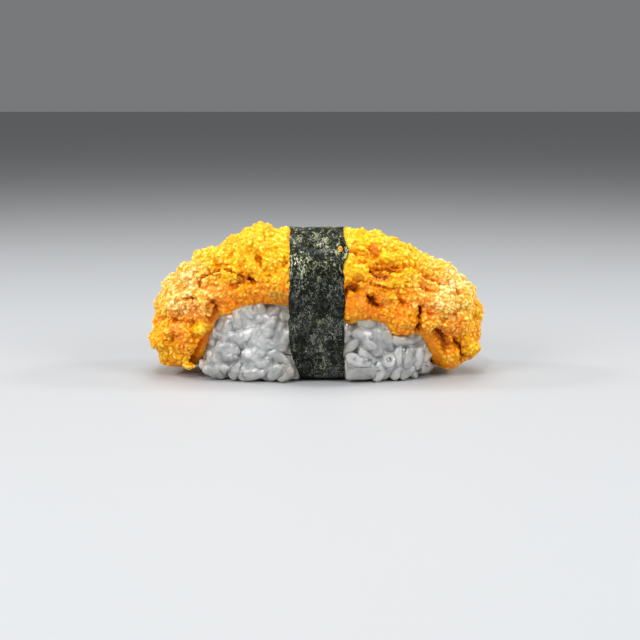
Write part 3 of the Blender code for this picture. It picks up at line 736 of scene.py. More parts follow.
def roeHalf(name, side, material):
    # one half of the tongue: its fine outer skin, and a coarse underside against the rice
    (front, back), split, crowding = roe["columns"], roe["backFrom"], roe["crowding"]
    places = side * np.linspace(*roe["ends"], roe["rows"] + 1)
    acrosses = np.concatenate((np.linspace(-1, split, front + 1), np.linspace(split, 1, back + 1)[1:]))
    acrosses = (1 - crowding) * acrosses + crowding * np.sin(acrosses * math.pi / 2)
    rays = roeRays(places, acrosses)
    under = heart + rays * blockReach(rays, -roe["sunk"])[..., None]
    form = heart + rays * roeReach(rays)[..., None]
    edge = np.sqrt(1 - np.abs(acrosses) ** roe["lipRounding"])[None, :]
    edge = edge * np.sqrt(1 - np.abs(places) ** roe["footRounding"])[:, None]
    thick, seat = form - under, roe["seat"]
    outer = under + thick * (seat + (1 - seat) * edge)[..., None]
    inner = under + thick * (seat * (1 - edge))[..., None]
    # the coarse form: clumps, lumps, the fold and the cracks
    far, near, flatter = roe["besideStrip"]
    beside = smoothstep(far * mm, near * mm, np.abs(outer[..., 0])) * smoothstep(0.1, 0.6, edge)
    outer = swellToStrip(outer, beside)
    marks, cracks, foldShade = frontAndBackMarks(outer)
    marks *= smoothstep(*roe["marksFrom"], edge)
    cracks *= smoothstep(*roe["marksFrom"], edge)
    relief = unevenness(form) * edge * (1 - flatter * beside) + marks
    relief = np.maximum(relief, -roe["deepest"] * edge * np.linalg.norm(thick, axis=-1))
    outer = outer + gridNormals(outer) * side * relief[..., None]
    # the granules
    calm, olive = np.maximum(frontMask(outer, calmSpots), foldShade), frontMask(outer, oliveSpots)
    fine, crown, seam, hole = fineRelief(outer, calm)
    fine *= smoothstep(*roe["grainFrom"], edge)
    outer = outer + gridNormals(outer) * side * fine[..., None]
    outer, inner = pressUnderStrip(settle(outer), roe["pressed"] * mm), settle(inner)
    # masks for the colours
    # painted shade: cracks, pits, low places and the roe under the fold's edge are painted darker, over the
    # roe's own deeper orange in its cracks
    hollowShade = smoothstep(0.3 * mm, 2.6 * mm, cracks) + 0.35 * hole + 0.2 * np.clip(-relief / (2 * mm), 0, 1)
    hollowShade = np.clip(hollowShade + 0.45 * foldShade, 0, 1)
    # crease is low on the beads' crowns, where a painted highlight goes, and high between them, where painted
    # shade goes
    crease = np.clip(0.8 * (1 - crown) + 0.4 * seam, 0, 1) * (1 - 0.5 * calm)
    # low turns the roe orange lower down; near the foot it turns back yellower, painted bounce light
    high, turned = inMetres(roeTint["lowFrom"])
    start, end, share = roeTint["lowest"]
    low = smoothstep(high, turned, outer[..., 2]) - share * smoothstep(start * mm, end * mm, outer[..., 2])
    nearLip = smoothstep(0.5, 0.95, np.abs(acrosses))[None, :]
    # painted shade: roe that faces down is painted more orange
    undersideShade = np.clip(-gridNormals(outer)[..., 2] * side, 0, 1)
    # painted glints: the shoulders are painted paler and creamier, as if lit from the sides
    flankX, flankZ, flankReach = inMetres(roe["flank"])
    away = np.hypot(np.abs(outer[..., 0]) - flankX, outer[..., 2] - flankZ) / flankReach
    flankGlint = np.clip(np.exp(-away ** 2) * (1 + 0.9 * softNoise(form, 3 * mm, 21)), 0, 1)
    size, drift = roeTint["drift"]
    blush = roeTint["low"] * low + roeTint["nearLip"] * nearLip * low + roeTint["calm"] * calm
    blush += roeTint["undersideShade"] * undersideShade + drift * softNoise(form, size * mm, 4)
    blush += roeTint["flankGlint"] * flankGlint + roeTint["sunny"] * frontMask(outer, sunnySpots)
    blush = np.clip(blush, 0, 1)
    looks = {"hollowShade": hollowShade, "crease": crease, "blush": blush, "olive": olive, "flankGlint": flankGlint}
    for label, part in (("front", slice(0, front + 1)), ("back", slice(front, None))):
        masks = {mask: values[:, part] for mask, values in looks.items()}
        addRoePiece(name + "_" + label, outer[:, part], inner[:, part], side < 0, masks, material)


def addRoePiece(name, outer, inner, flip, looks, material):
    points, faces, masks = doubleSkin(outer, inner, roe["coarser"], flip, looks, 1.0)
    piece = makeMesh(name, points, faces, material, masks)
    finishPiece(piece, "roe", "sea_urchin")
    print(name, len(piece.data.polygons), "faces")


# pale, gold and cream paint highlights; ochre, amber, red and deep darken creases, cracks and pits, partly
# the roe's own colour, partly painted shade
roeLook = {
    "yellow": (0.91, 0.56, 0.004),
    "orange": (0.9, 0.265, 0.001),
    "highlightPale": (1.0, 0.8, 0.12),
    "gold": (0.98, 0.5, 0.004),
    "cream": (0.95, 0.9, 0.58),
    "ochre": (0.82, 0.36, 0.001),
    "amber": (0.78, 0.21, 0.0005),
    "red": (0.68, 0.16, 0.0005),
    "deep": (0.22, 0.04, 0.001),
    "olive": (0.42, 0.28, 0.03),
}


def makeRoeMaterial():
    material, tree, shader = newMaterial(
        "sea urchin roe", Subsurface_Weight=0.3, Subsurface_Scale=0.3 * mm,
        Subsurface_Radius=(1.0, 0.45, 0.1), Specular_IOR_Level=0.08, Coat_Weight=0.45,
        Coat_Roughness=0.05, IOR=1.4,
    )
    labels = ("hollowShade", "crease", "blush", "olive", "flankGlint")
    hollowShade, crease, blush, olive, flankGlint = (readMask(tree, label) for label in labels)
    drift = patchMask(tree, 260, 0.16)
    shift = calculate(tree, "MULTIPLY", calculate(tree, "SUBTRACT", drift, 0.5), 0.3)
    warmth = calculate(tree, "ADD", blush, shift)
    colour = mixColours(tree, spreadMask(tree, warmth, 0.0, 1.0), roeLook["yellow"], roeLook["orange"])
    # painted glints: the shoulders are mixed towards cream, and so are the tops of their beads
    colour = mixColours(tree, calculate(tree, "MULTIPLY", flankGlint, 0.45), colour, roeLook["cream"])
    # the tops of the beads are paler, a painted highlight, and the creases between them darker, partly the
    # roe's own colour and partly painted shade
    top = mixColours(tree, spreadMask(tree, warmth, 0.3, 1.0), roeLook["highlightPale"], roeLook["gold"])
    top = mixColours(tree, flankGlint, top, roeLook["cream"])
    colour = mixColours(tree, spreadMask(tree, crease, 0.42, 0.08, 0.0, 0.8), colour, top)
    glassy = calculate(tree, "MULTIPLY", olive, spreadMask(tree, drift, 0.1, 0.7))
    colour = mixColours(tree, glassy, colour, roeLook["olive"])
    groove = mixColours(tree, spreadMask(tree, warmth, 0.1, 0.7), roeLook["ochre"], roeLook["amber"])
    colour = mixColours(tree, spreadMask(tree, crease, 0.35, 0.95, 0.0, 0.9), colour, groove)
    # painted shade: hollows are painted red and the deepest dark brown, over the roe's own deeper orange
    colour = mixColours(tree, spreadMask(tree, hollowShade, 0.1, 0.65, 0.0, 0.7), colour, roeLook["red"])
    colour = mixColours(tree, spreadMask(tree, hollowShade, 0.85, 1.0, 0.0, 0.85), colour, roeLook["deep"])
    tree.links.new(colour, shader.inputs["Base Color"])
    grainBump(tree, shader, 1800, 0.3, 0.12, 0.5)
    tree.links.new(spreadMask(tree, patchMask(tree, 900, 0.2), 0, 1, 0.28, 0.45), shader.inputs["Roughness"])
    return material


roeMaterial = makeRoeMaterial()
roeHalf("roe_left", -1, roeMaterial)
roeHalf("roe_right", 1, roeMaterial)


# Rice

grain = {
    "length": 5.6, "width": 2.9, "thickness": 2.4,
    "spreads": {"length": (0.72, 1.12), "width": (0.85, 1.2), "thickness": (0.85, 1.1)},
    "meridians": 14, "rings": 12, "bluntness": 0.55,
    "bend": 0.16, "nick": 0.3,   # at most
    # for each layer: how many grains, how deep their middles lie and how unevenly, and rounds of settling
    "layers": [(215, 0.9, 0.5, 80), (150, 2.4, 0.4, 30)],
    "dents": (1.7, 0.34),  # how the grains are pressed out of shape: size and depth
    "chips": (1.7, 0.5),   # angular lumps: size and height
    "tilt": 0.16,
    "proud": 0.8,          # how far the grains may stand out of the block
    "proudFrom": 1.5,      # starting this far above the roe's lip
    "underLip": 1.8,       # how far above the lip their middles may lie
    "lowest": 1.0,         # and how near the table
    "beads": (-0.31, 0, 0.31),   # each keeps the others away from these places along it
    "closeness": 0.97,     # as a share of its width
    "milky": (0, 8, 9, 10),      # the whitest of the known ones
    "seed": 11,
}
# Grains that show best: place along X, height, turn in degrees from level, size, and how far they lean in
knownGrains = [
    (9.4, 5.2, -18, 1.15, 0), (10.6, 1.9, 4, 1.35, 0), (12.2, 8.4, 60, 0.95, 80), (14.2, 2.2, 75, 0.85, 0),
    (18.6, 5.6, 84, 1.0, 0), (21.0, 5.2, 80, 1.05, 0), (23.0, 4.8, 75, 1.0, 0), (24.6, 3.0, 68, 0.9, 0),
    (-15.4, 11.0, 15, 1.15, 0), (-12.6, 9.2, -20, 1.15, 0), (-14.2, 6.6, 5, 1.1, 0),
    (-11.0, 12.6, 60, 1.0, 0),
    (-26.4, 1.9, -38, 1.1, 0), (-21.8, 2.0, 30, 1.1, 0), (-14.4, 1.8, 15, 1.1, 0), (-9.8, 2.2, 50, 1.0, 20),
]
# Grains that stick out at the foot: middle, and the way that they point
strayGrains = [((-24.3, -7.6, 2.9), (-0.92, -0.1, 0.34)), ((-22.6, -9.4, 1.7), (-0.8, -0.4, 0.3))]
openNotch = (-18.6, -12.4, 1.2)   # a gap between the grains at the foot: x, y, z
# Milkier or clearer rice on the front: x, z, reach along X and along Z, change
riceTones = [
    (-13.6, 9, 5, 4, 0.5), (-13.5, 4.6, 4, 2.5, 0.3), (-7, 9, 2.4, 8, -0.5), (10.5, 5, 4, 2.4, -0.25),
    (20.5, 8.4, 5, 1.8, -0.3), (-22.6, 8, 2.5, 5, 0.12),
]
curledGrain = {"place": (15.9, 5.2), "ring": 0.9, "thickness": 0.46, "tilt": 12}   # bent round to a ring
# Crevices in the starch: points along X and Z, then width and depth
riceCracks = [
    ([(7.3, 7.8), (8.8, 6.9), (10.8, 6.7), (12.9, 4.6)], 0.45, 1.3),
    ([(-18.9, 0), (-18.5, 2.6)], 0.8, 2.4),
    ([(15.8, 5.1), (16.0, 5.3)], 0.7, 2.6),
    ([(-16.6, 6.3), (-16.2, 7)], 0.5, 1.0),
    ([(-8.9, 5.3), (-8.3, 4.8)], 0.5, 1.0),
    ([(-12.2, 4.2), (-11.8, 4.7)], 0.5, 1.0),
    ([(-17.2, 3.4), (-16.6, 3.9)], 0.5, 1.0),
]


def lipHeight(points):
    # how far below the roe's lip these points of the rice's sides lie
    front, back = (np.array(roe[label][1:-1], float) * mm for label in ("frontLip", "backLip"))
    x = points[..., 0]
    heights = [np.interp(x, line[:, 0], line[:, 1]) for line in (front, back)]
    return np.where(points[..., 1] > 0, heights[1], heights[0]) - points[..., 2]


def blockOutward(ways):
    # the direction straight out of the rounded box at these points
    power = block["squareness"] - 1
    sizes = np.array((block["halfLength"], block["halfDepth"], block["footDrop"])) * mm
    return unit(np.sign(ways) * np.abs(ways / sizes) ** power / sizes)


def layDown(centres, depths):
    # moves the grains' middles to their depth under the block's surface, off the roe and the table
    lowered = centres[:, 2] + np.minimum(lipHeight(centres) + grain["underLip"] * mm, 0)
    centres[:, 2] = np.clip(centres[:, 2], grain["lowest"] * mm, lowered)
    ways = centres - heart
    surface = ways * blockReach(ways)[:, None]
    return heart + surface - unit(surface) * depths[:, None]


def grainBeads(centres, axes):
    reach = np.array(grain["beads"]) * grain["length"] * mm
    return centres[:, None] + axes[:, None] * reach[None, :, None]


def settleGrains(draw, count, depth, uneven, rounds, fixed, known=()):
    # strews one layer, then lets its grains push each other apart along the surface until they fit
    turn, height = draw.uniform(0, 2 * math.pi, count), draw.uniform(-7, 10, count)
    centres = heart + mm * np.stack((
        block["halfLength"] * np.cos(turn), block["halfDepth"] * np.sin(turn), height,
    ), axis=1)
    swing = draw.uniform(0, math.pi, count)
    leans = draw.normal(0, grain["tilt"], count)
    depths = (depth + uneven * draw.uniform(-1, 1, count)) * mm
    for k, (x, z, degrees, _, leanIn) in enumerate(known):
        centres[k] = np.array(blockSide([(x, z)], -1)[0]) * mm
        swing[k] = math.radians(degrees)
        leans[k] = math.tan(math.radians(leanIn))
        depths[k] = (depth - 0.5 * uneven) * mm
    centres = layDown(centres, depths)
    outward = blockOutward(centres - heart)
    level = unit(np.cross((0, 0, 1), outward))
    axes = unit(level * np.cos(swing)[:, None] + np.cross(outward, level) * np.sin(swing)[:, None])
    axes = unit(axes + outward * leans[:, None])
    free = np.arange(count) >= len(known)
    own = np.repeat(np.arange(count), 3)
    lean = (axes * outward).sum(1)
    for _ in range(rounds):
        beads = grainBeads(centres, axes).reshape(-1, 3)
        others = np.concatenate((beads, fixed))
        apart = beads[:, None] - others[None]
        away = np.maximum(np.linalg.norm(apart, axis=-1), 1e-9)
        push = np.clip(grain["width"] * mm * grain["closeness"] - away, 0, None)
        push[:, :len(beads)][own[:, None] == own[None]] = 0
        move = (apart * (push / away)[..., None]).sum(1).reshape(count, 3, 3)
        outward = blockOutward(centres - heart)
        shift = move.mean(1)
        twist = (move[:, 2] - move[:, 0]) / (grain["length"] * mm)
        for way in (shift, twist):
            way -= outward * (way * outward).sum(1, keepdims=True)
        centres = np.where(free[:, None], layDown(centres + 0.5 * shift, depths), centres)
        axes = np.where(free[:, None], unit(axes + 0.5 * twist), axes)
        axes = unit(axes + outward * (lean - (axes * outward).sum(1))[:, None])
    return centres, axes


def grainSpots():
    draw = np.random.RandomState(grain["seed"])
    ring = blockSide([curledGrain["place"]], -1)[0]
    fixed = np.array([openNotch, ring, np.array(ring) + (0, 0, 0.9), np.array(ring) - (0, 0, 0.9)]) * mm
    spots = []
    for k, (count, depth, uneven, rounds) in enumerate(grain["layers"]):
        known = knownGrains if k == 0 else ()
        centres, axes = settleGrains(draw, count, depth, uneven, rounds, fixed, known)
        fixed = np.concatenate((fixed, grainBeads(centres, axes).reshape(-1, 3)))
        outward = blockOutward(centres - heart)
        sizes = [one[3] for one in known] + [1.0] * (count - len(known))
        for centre, axis, out, size in zip(centres, axes, outward, sizes):
            if abs(centre[0]) > (strip["halfWidth"] - 1.5) * mm or abs(centre[1]) < 9 * mm:
                spots.append((centre, axis, out, size))
    return spots


def grainPoints(size, rule):
    # a plump grain along X: blunt ends, one flatter side, a slight bend and a nick at one end
    length, width, thickness = (
        grain[label] * mm * size / 2 * rule.uniform(*spread) for label, spread in grain["spreads"].items()
    )
    bend, nick = rule.uniform(-grain["bend"], grain["bend"]), rule.uniform(0, grain["nick"])
    points = [(-length, 0, 0)]
    for ring in range(1, grain["rings"]):
        lean = math.pi * ring / grain["rings"]
        girth = math.sin(lean) ** grain["bluntness"]
        along = -math.cos(lean)
        for step in range(grain["meridians"]):
            turn = 2 * math.pi * (step + ring / 2) / grain["meridians"]
            across, up = math.cos(turn), math.sin(turn)
            across *= 0.9 if across < 0 else 1
            up -= nick * max(0, up) * math.exp(-((along - 0.75) / 0.2) ** 2)
            sideways = width * (girth * across + 2 * bend * (1 - along ** 2))
            points.append((along * length, sideways, thickness * girth * up))
    points.append((length, 0, 0))
    points = np.array(points)
    size, depth = inMetres(grain["dents"])
    place = points + 0.01 * rule.randrange(1000)
    return points + depth * noiseVectors(place, size, (51, 52, 53))


def makeRing():
    # the points and faces of the curled grain, standing on the front of the block
    rounds, sides = 26, 12
    turns, laps = (np.arange(count) * 2 * math.pi / count for count in (rounds, sides))
    turn, lap = np.meshgrid(turns, laps, indexing="ij")
    fat = curledGrain["thickness"] * (1 + 0.18 * np.cos(turn + 1))
    reach = curledGrain["ring"] + fat * np.cos(lap)
    points = np.stack((reach * np.cos(turn), -fat * np.sin(lap), 1.12 * reach * np.sin(turn)), axis=-1)
    points = points.reshape(-1, 3)
    points[:, 1] += points[:, 2] * math.tan(math.radians(curledGrain["tilt"]))
    points += 0.1 * noiseVectors(points, 1.2, (61, 62, 63))
    x, y, z = blockSide([curledGrain["place"]], -1)[0]
    index = np.arange(rounds * sides).reshape(rounds, sides)
    corners = (index, np.roll(index, -1, 1), np.roll(np.roll(index, -1, 0), -1, 1), np.roll(index, -1, 0))
    return (points + (x, y - 0.45, z)) * mm, np.stack(corners, axis=-1).reshape(-1, 4).tolist()


def grainFaces():
    faces, meridians, rings = [], grain["meridians"], grain["rings"]
    last = 1 + (rings - 1) * meridians
    for step in range(meridians):
        after = (step + 1) % meridians
        faces.append((0, 1 + after, 1 + step))
        for ring in range(rings - 2):
            low, high = 1 + ring * meridians, 1 + (ring + 1) * meridians
            faces.append((low + step, low + after, high + after, high + step))
        top = 1 + (rings - 2) * meridians
        faces.append((top + step, top + after, last))
    return faces


def chipGrains(points):
    # small angular lumps on the sides of the grains and of the starch between them
    size, rise = grain["chips"]
    return rise * mm * (0.25 - nearestLump(points, size * mm))


def holdGrain(points):
    # draws points in to the rounded box, a little proud of it below the roe's lip
    ways = points - heart
    below = lipHeight(points) / (grain["proudFrom"] * mm) + 1
    reach = blockReach(ways, grain["proud"] * np.clip(below, 0, 1))
    held = np.where((reach >= 1)[:, None], points, heart + ways * reach[:, None])
    held[:, 2] = np.maximum(held[:, 2], 0.03 * mm)
    return pressUnderStrip(held, 0.25 * mm)


def makeGrains(material):
    rule = random.Random(grain["seed"] + 1)
    shape, points, faces, tints = grainFaces(), [], [], []
    spots = grainSpots()
    packed = len(spots)
    for place, axis in strayGrains:
        centre = np.array(place) * mm
        spots.append((centre, unit(np.array(axis, float)), blockOutward(centre - heart), 1.05))
    for k, (centre, axis, outward, size) in enumerate(spots):
        side = unit(np.cross(outward, axis))
        turned = np.stack((axis, side, np.cross(axis, side)))
        placed = centre + grainPoints(size * rule.uniform(0.94, 1.06), rule) @ turned
        placed[:, 2] += max(0, 0.08 * mm - placed[:, 2].min())
        first = sum(len(group) for group in points)
        placed += unit(placed - centre) * chipGrains(placed)[:, None]
        points.append(holdGrain(placed) if k < packed else placed)
        faces += [[first + corner for corner in face] for face in shape]
        tint = 0.8 * rule.random() ** 1.1
        tints.append(np.full(len(placed), 0.95 if k in grain["milky"] else tint))
    curl, curlFaces = makeRing()
    first = sum(len(group) for group in points)
    faces += [[first + corner for corner in face] for face in curlFaces]
    points = np.concatenate((*points, curl))
    tints.append(np.full(len(curl), 0.6))
    tones = np.concatenate(tints) + riceTone(points)
    piece = makeMesh("rice_grains", points, faces, material, {"tint": tones, "juice": juiceMask(points)})
    finishPiece(piece, "rice", "rice")
    print("rice grains", len(tints), "with", len(faces), "faces")
    return piece


def riceTone(points):
    # milkier or clearer parts of the front
    tone = np.zeros(len(points))
    for *spot, change in riceTones:
        tone += change * np.exp(-spotReach(points, *spot) ** 2)
    return tone * (points[:, 1] < 0)


def juiceMask(points):
    # where the roe's juice has run into the rice: near the lip, at the foot and beside the strip
    nearLip = smoothstep(2.5 * mm, 0, lipHeight(points))
    nearFoot = 0.55 * smoothstep(2.5 * mm, 0, points[:, 2])
    nearStrip = 0.5 * smoothstep(3 * mm, 0, np.abs(points[:, 0]) - strip["halfWidth"] * mm)
    return np.clip(np.maximum(np.maximum(nearLip, nearFoot), nearStrip), 0, 1)


starch = {
    "inset": 0.9,          # how far the plain block under the grains lies below its surface
    "voxel": 0.36,
    "softening": 4,
    "sinkSoft": -0.03,     # how deep the starch lies between the grains at the mushy left front
    "sinkLoose": 0.05,     # elsewhere
    "footSink": 0.5,       # and how much deeper at the foot
    "mushy": (-15, 8, 10, 9),   # x, z, reach along X and along Z
    "tint": 0.32,          # how milky it is, and how far it is pressed under the strip
    "pressed": 0.3,
}


def starchSink(points):
    mush = np.exp(-spotReach(points, *starch["mushy"]) ** 4) * (points[:, 1] < 0)
    sink = starch["sinkLoose"] + (starch["sinkSoft"] - starch["sinkLoose"]) * mush
    sink = (sink + starch["footSink"] * smoothstep(2.6 * mm, 0.2 * mm, points[:, 2])) * mm
    return sink + np.where(points[:, 1] < 0, crackDepth(points, riceCracks, 0.15), 0)


def makeRiceCore(grains, material):
    # the starchy block that the grains are pressed into: their own shapes, softened and sunk a little
    bm, ball = makeBall()
    shrink = np.array([1 - starch["inset"] / block[label] for label in ("halfLength", "halfDepth")] + [1])
    sized = heart + ball * blockReach(ball)[:, None] * shrink
    sized[:, 2] = np.maximum(sized[:, 2], 0.05 * mm)
    sized = pressUnderStrip(sized, starch["pressed"] * mm)
    for vert, place in zip(bm.verts, sized):
        vert.co = place
    bm.from_mesh(grains.data)
    mesh = bpy.data.meshes.new("rice_core")
    bm.to_mesh(mesh)
    bm.free()
    piece = addObject("rice_core", mesh)
    fuse = piece.modifiers.new("fuse", "REMESH")
    fuse.mode = "VOXEL"
    fuse.voxel_size = starch["voxel"] * mm
    soften = piece.modifiers.new("soften", "SMOOTH")
    soften.factor = 0.5
    soften.iterations = starch["softening"]
    graph = bpy.context.evaluated_depsgraph_get()
    made = bpy.data.meshes.new_from_object(piece.evaluated_get(graph))
    piece.modifiers.clear()
    piece.data = made
    points, normals = np.zeros(len(made.vertices) * 3), np.zeros(len(made.vertices) * 3)
    made.vertices.foreach_get("co", points)
    made.vertices.foreach_get("normal", normals)
    points, normals = points.reshape(-1, 3), normals.reshape(-1, 3)
    points += normals * (chipGrains(points) - starchSink(points))[:, None]
    points[:, 2] = np.maximum(points[:, 2], 0.02 * mm)
    points = pressUnderStrip(points, starch["pressed"] * mm)
    made.vertices.foreach_set("co", points.ravel())
    writeMasks(made, {"tint": starch["tint"] + riceTone(points), "juice": juiceMask(points)})
    made.materials.clear()
    made.materials.append(material)
    made.shade_smooth()
    finishPiece(piece, "rice", "rice")
    print("rice core", len(made.polygons), "faces")


riceLook = {
    "clear": (0.26, 0.262, 0.256),
    "white": (0.68, 0.68, 0.67),
    "juice": (0.60, 0.50, 0.30),
}


def makeRiceMaterial():
    material, tree, shader = newMaterial(
        "cooked rice", Subsurface_Weight=0.9, Subsurface_Scale=1.5 * mm,
        Subsurface_Radius=(1.0, 0.95, 0.85), Coat_Weight=0.8, Coat_Roughness=0.05, IOR=1.38,
    )
    tint, juice = readMask(tree, "tint"), readMask(tree, "juice")
    cloud = calculate(tree, "MULTIPLY", patchMask(tree, 420, 0.22), 0.45)
    milky = calculate(tree, "ADD", calculate(tree, "MULTIPLY", tint, 0.55), cloud)
    colour = mixColours(tree, milky, riceLook["clear"], riceLook["white"])
    colour = mixColours(tree, calculate(tree, "MULTIPLY", juice, 0.4), colour, riceLook["juice"])
    tree.links.new(colour, shader.inputs["Base Color"])
    grainBump(tree, shader, 650, 0.3, 0.2, 0.45)
    tree.links.new(spreadMask(tree, patchMask(tree, 700, 0.2), 0, 1, 0.22, 0.42), shader.inputs["Roughness"])
    return material


riceMaterial = makeRiceMaterial()
riceGrains = makeGrains(riceMaterial)
makeRiceCore(riceGrains, riceMaterial)


# Seaweed strip

def raggedEdge(line, seed):
    # how far the torn edge strays from straight
    tears = enumerate(strip["tears"])
    return mm * sum(height * softNoise(line, size * mm, seed + k) for k, (size, height) in tears)


def makeStrip(material):
    rows, columns = strip["rows"], strip["columns"]
    along = np.linspace(0, 1, rows + 1)
    line = smoothLine([(0, y, z) for y, z in strip["route"]], along) * mm
    way = unit(np.gradient(line, axis=0))
    out = np.stack((np.zeros(len(line)), way[:, 2], -way[:, 1]), axis=1)[:, None]
    left = stripLeft(line) + raggedEdge(line, 2)
    right = stripRight(line) + raggedEdge(line, 12)
    grid = np.repeat(line[:, None], columns + 1, axis=1)
    grid[..., 0] = left[:, None] + (right - left)[:, None] * np.linspace(0, 1, columns + 1)
    size, height = strip["buckle"]
    buckle = np.clip(height * softNoise(grid, size * mm, 1), *strip["buckleEnds"]) * mm
    size, width, height = strip["squiggles"]
    gone = distanceAlong(line)
    laidFlat = np.stack((grid[..., 0], np.repeat(gone[:, None] * strip["drawnOut"], columns + 1, axis=1),
                         np.zeros(grid.shape[:2])), axis=-1)
    # the curled ridges, where pale flecks and painted glints go
    fleckAndGlint = np.exp(-((softNoise(laidFlat, size * mm, 6) / width) ** 2))
    fleckAndGlint *= smoothstep(-0.1, 0.2, softNoise(laidFlat, 0.85 * mm, 8))
    rise = buckle + (strip["crinkle"][1] * softNoise(grid, strip["crinkle"][0] * mm, 9) + height * fleckAndGlint) * mm
    shown = smoothstep(*strip["wavesBegin"], along) * smoothstep(*strip["wavesEnd"], along)
    outer = grid + out * (rise * shown[:, None])[..., None]
    inner = grid + out * (buckle * shown[:, None] - strip["thickness"] * mm)[..., None]
    # painted sheen: the strip's top third is painted paler, as if lit from above at a grazing angle, plus
    # random paler patches
    highlightPale = smoothstep(20 * mm, 30 * mm, outer[..., 2]) * (0.8 + 0.5 * softNoise(outer, 5 * mm, 15))
    highlightPale += 0.3 * smoothstep(0.1, 0.45, softNoise(outer, 4 * mm, 17))
    looks = {"fleckAndGlint": fleckAndGlint, "topSheenAndPatches": highlightPale}
    points, faces, masks = doubleSkin(outer, inner, strip["coarser"], True, looks, 0.0)
    points[:, 2] = np.maximum(points[:, 2], strip["lowest"] * mm)
    piece = makeMesh("nori_strip", points, faces, material, masks)
    finishPiece(piece, "seaweed", "nori_band")
    print("seaweed strip", len(faces), "faces")


# olive, cream, teal and grey are the pale marks: the seaweed's own fibres and painted glints
noriLook = {
    "black": (0.002, 0.003, 0.0025),
    "green": (0.01, 0.014, 0.008),
    "olive": (0.33, 0.35, 0.12),
    "cream": (0.62, 0.6, 0.4),
    "teal": (0.22, 0.33, 0.31),
    "grey": (0.4, 0.42, 0.38),
}


def makeNoriMaterial():
    material, tree, shader = newMaterial(
        "dried seaweed", IOR=1.45, Specular_IOR_Level=0.1, Coat_Roughness=0.07,
    )
    fleckAndGlint, topSheenAndPatches = readMask(tree, "fleckAndGlint"), readMask(tree, "topSheenAndPatches")
    where = tree.nodes.new("ShaderNodeTexCoord").outputs["Object"]
    colour = mixColours(tree, patchMask(tree, 420, 0.12), noriLook["black"], noriLook["green"])
    # pale marks, partly the seaweed's own fibres and partly painted glints: olive and cream, teal in places,
    # and greyer glints lower down
    hue = noiseMask(tree, where, 1300.0, Detail=2.0)
    paint = mixColours(tree, spreadMask(tree, hue, 0.46, 0.54), noriLook["olive"], noriLook["cream"])
    paint = mixColours(tree, spreadMask(tree, hue, 0.57, 0.62), paint, noriLook["teal"])
    paint = mixColours(tree, spreadMask(tree, topSheenAndPatches, 0.0, 0.6, 0.7, 0.0), paint, noriLook["grey"])
    # fine curled lines, thinner than the ridges of the mesh, painted pale as flecks and glints
    curls = noiseMask(tree, where, 1900.0, Detail=1.0, Distortion=0.4)
    aside = calculate(tree, "ABSOLUTE", calculate(tree, "SUBTRACT", curls, 0.5), 0.0)
    thread = spreadMask(tree, aside, 0.035, 0.008)
    some = calculate(tree, "MULTIPLY", thread, patchMask(tree, 1100, 0.06))
    # the painted sheen makes the pale marks brighter and denser high up
    lit = spreadMask(tree, topSheenAndPatches, 0.0, 1.0, 0.2, 0.9)
    ridges = calculate(tree, "MULTIPLY", spreadMask(tree, fleckAndGlint, 0.35, 0.9), lit)
    threads = calculate(tree, "MULTIPLY", some, spreadMask(tree, topSheenAndPatches, 0, 1, 0.72, 0.95))
    busy = spreadMask(tree, patchMask(tree, 230, 0.12), 0, 1, 0.4, 1.45)
    marked = calculate(tree, "MULTIPLY", calculate(tree, "MAXIMUM", ridges, threads), busy)
    colour = mixColours(tree, marked, colour, paint)
    tree.links.new(colour, shader.inputs["Base Color"])
    grainBump(tree, shader, 1900, 0.5, 0.3, 0.9, calculate(tree, "MULTIPLY", thread, 0.4))
    gloss = patchMask(tree, 240, 0.1)
    tree.links.new(spreadMask(tree, gloss, 0, 1, 0.5, 0.24), shader.inputs["Roughness"])
    tree.links.new(spreadMask(tree, gloss, 0.3, 1, 0.0, 0.6), shader.inputs["Coat Weight"])
    return material


noriMaterial = makeNoriMaterial()
makeStrip(noriMaterial)


# What has come loose: a crumb of roe on the strip, and a fibre of seaweed on the rice beside it

loose = {
    # places, half sizes, and the lumps' size and height
    "crumbs": {
        "roe_crumb": ((5.1, -11.55, 29.7), (0.5, 0.32, 0.62), (0.4, 0.22)),
        "roe_bit": ((-28.7, -7.4, 2.9), (1.45, 1.0, 0.8), (0.9, 0.3)),
    },
    "fibre": {"places": [(-7, 6.7), (-6.4, 6.8), (-5.8, 6.65), (-5.2, 6.8)], "proud": 1.3, "thickness": 0.13},
}


def makeCrumb(name, place, halfSize, lumps, material):
    bm, ball = makeBall()
    ball = ball * halfSize * mm
    faces = [[vert.index for vert in face.verts] for face in bm.faces]
    bm.free()
    dents = softNoise(ball, lumps[0] * mm, 41)
    points = ball * (1 + lumps[1] * dents)[:, None] + np.array(place) * mm
    plain = np.full(len(points), 0.55)
    # painted highlight on the crumb's bumps and painted shade in its dents, as on the beads
    masks = {"crease": smoothstep(0.1, -0.4, dents), "blush": plain}
    masks.update({label: 0 * plain for label in ("hollowShade", "olive", "flankGlint")})
    finishPiece(makeMesh(name, points, faces, material, masks), "roe")


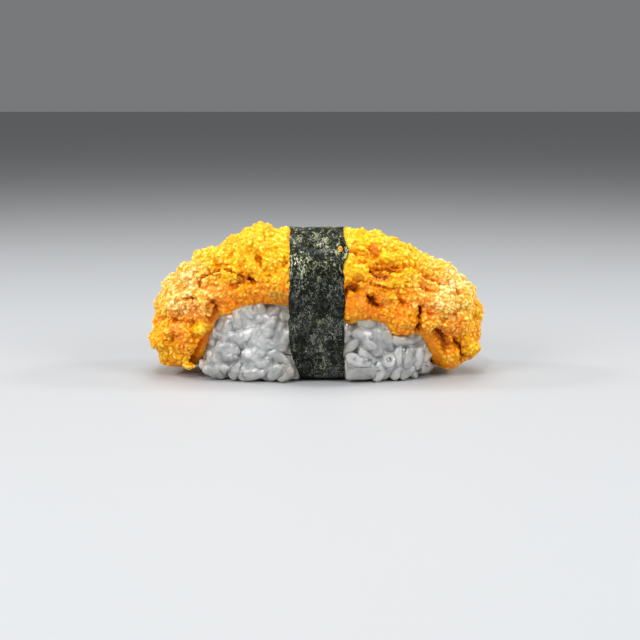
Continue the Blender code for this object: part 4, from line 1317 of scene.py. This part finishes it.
def makeFibre(material):
    spec = loose["fibre"]
    route = np.array(blockSide(spec["places"], -1)) - (0, spec["proud"], 0)
    line = smoothLine(route, np.linspace(0, 1, 25)) * mm
    turns = np.linspace(0, 2 * math.pi, 8, endpoint=False)
    thick = spec["thickness"] * mm * np.sqrt(1 - np.linspace(-0.97, 0.97, len(line)) ** 2)
    ring = np.stack((np.zeros(8), np.cos(turns), np.sin(turns)), axis=1)
    points = (line[:, None] + thick[:, None, None] * ring).reshape(-1, 3)
    faces = [[8 * k + j, 8 * k + (j + 1) % 8, 8 * k + 8 + (j + 1) % 8, 8 * k + 8 + j]
             for k in range(len(line) - 1) for j in range(8)]
    faces += [list(range(7, -1, -1)), list(range(len(points) - 8, len(points)))]
    none = np.zeros(len(points))
    finishPiece(makeMesh("nori_fibre", points, faces, material, {"fleckAndGlint": none, "topSheenAndPatches": none}), "seaweed")


for name, crumb in loose["crumbs"].items():
    makeCrumb(name, *crumb, roeMaterial)
makeFibre(noriMaterial)
print("crumb and fibre laid")


# Floor and light

studio = {
    "floor": (0.46, 0.47, 0.48),
    "sky": (0.84, 0.87, 0.9), "skyStrength": 0.22,
    "aim": (0, 0, 15),
    # place in mm, size in mm, power in watts
    "lamps": {
        "left softbox": ((-310, -310, 270), 230, 1.35),
        "right softbox": ((330, -250, 240), 200, 0.95),
        "top sheet": ((0, 60, 420), 320, 1.15),
        "left window": ((-360, 30, 270), 70, 0.6),
        "right window": ((360, 30, 270), 70, 0.6),
        "small key": ((-60, -240, 380), 40, 0.4),
    },
}


def makeStudio():
    bm = bmesh.new()
    bmesh.ops.create_grid(bm, x_segments=1, y_segments=1, size=3)
    mesh = bpy.data.meshes.new("floor")
    bm.to_mesh(mesh)
    bm.free()
    floor = addObject("floor", mesh)
    material, tree, shader = newMaterial("plain floor", Roughness=0.6)
    shader.inputs["Base Color"].default_value = (*studio["floor"], 1)
    mesh.materials.append(material)
    for name, (place, size, power) in studio["lamps"].items():
        light = bpy.data.lights.new(name, "AREA")
        light.shape = "DISK"
        light.size = size * mm
        light.energy = power
        holder = addObject(name, light)
        holder.location = Vector(place) * mm
        aim = Vector(studio["aim"]) * mm - holder.location
        holder.rotation_euler = aim.to_track_quat("-Z", "Y").to_euler()
    world = bpy.data.worlds.new("studio")
    world.use_nodes = True
    world.node_tree.nodes["Background"].inputs["Color"].default_value = (*studio["sky"], 1)
    world.node_tree.nodes["Background"].inputs["Strength"].default_value = studio["skyStrength"]
    bpy.context.scene.world = world
    bpy.context.scene.view_settings.view_transform = "Standard"


makeStudio()
print("studio set")
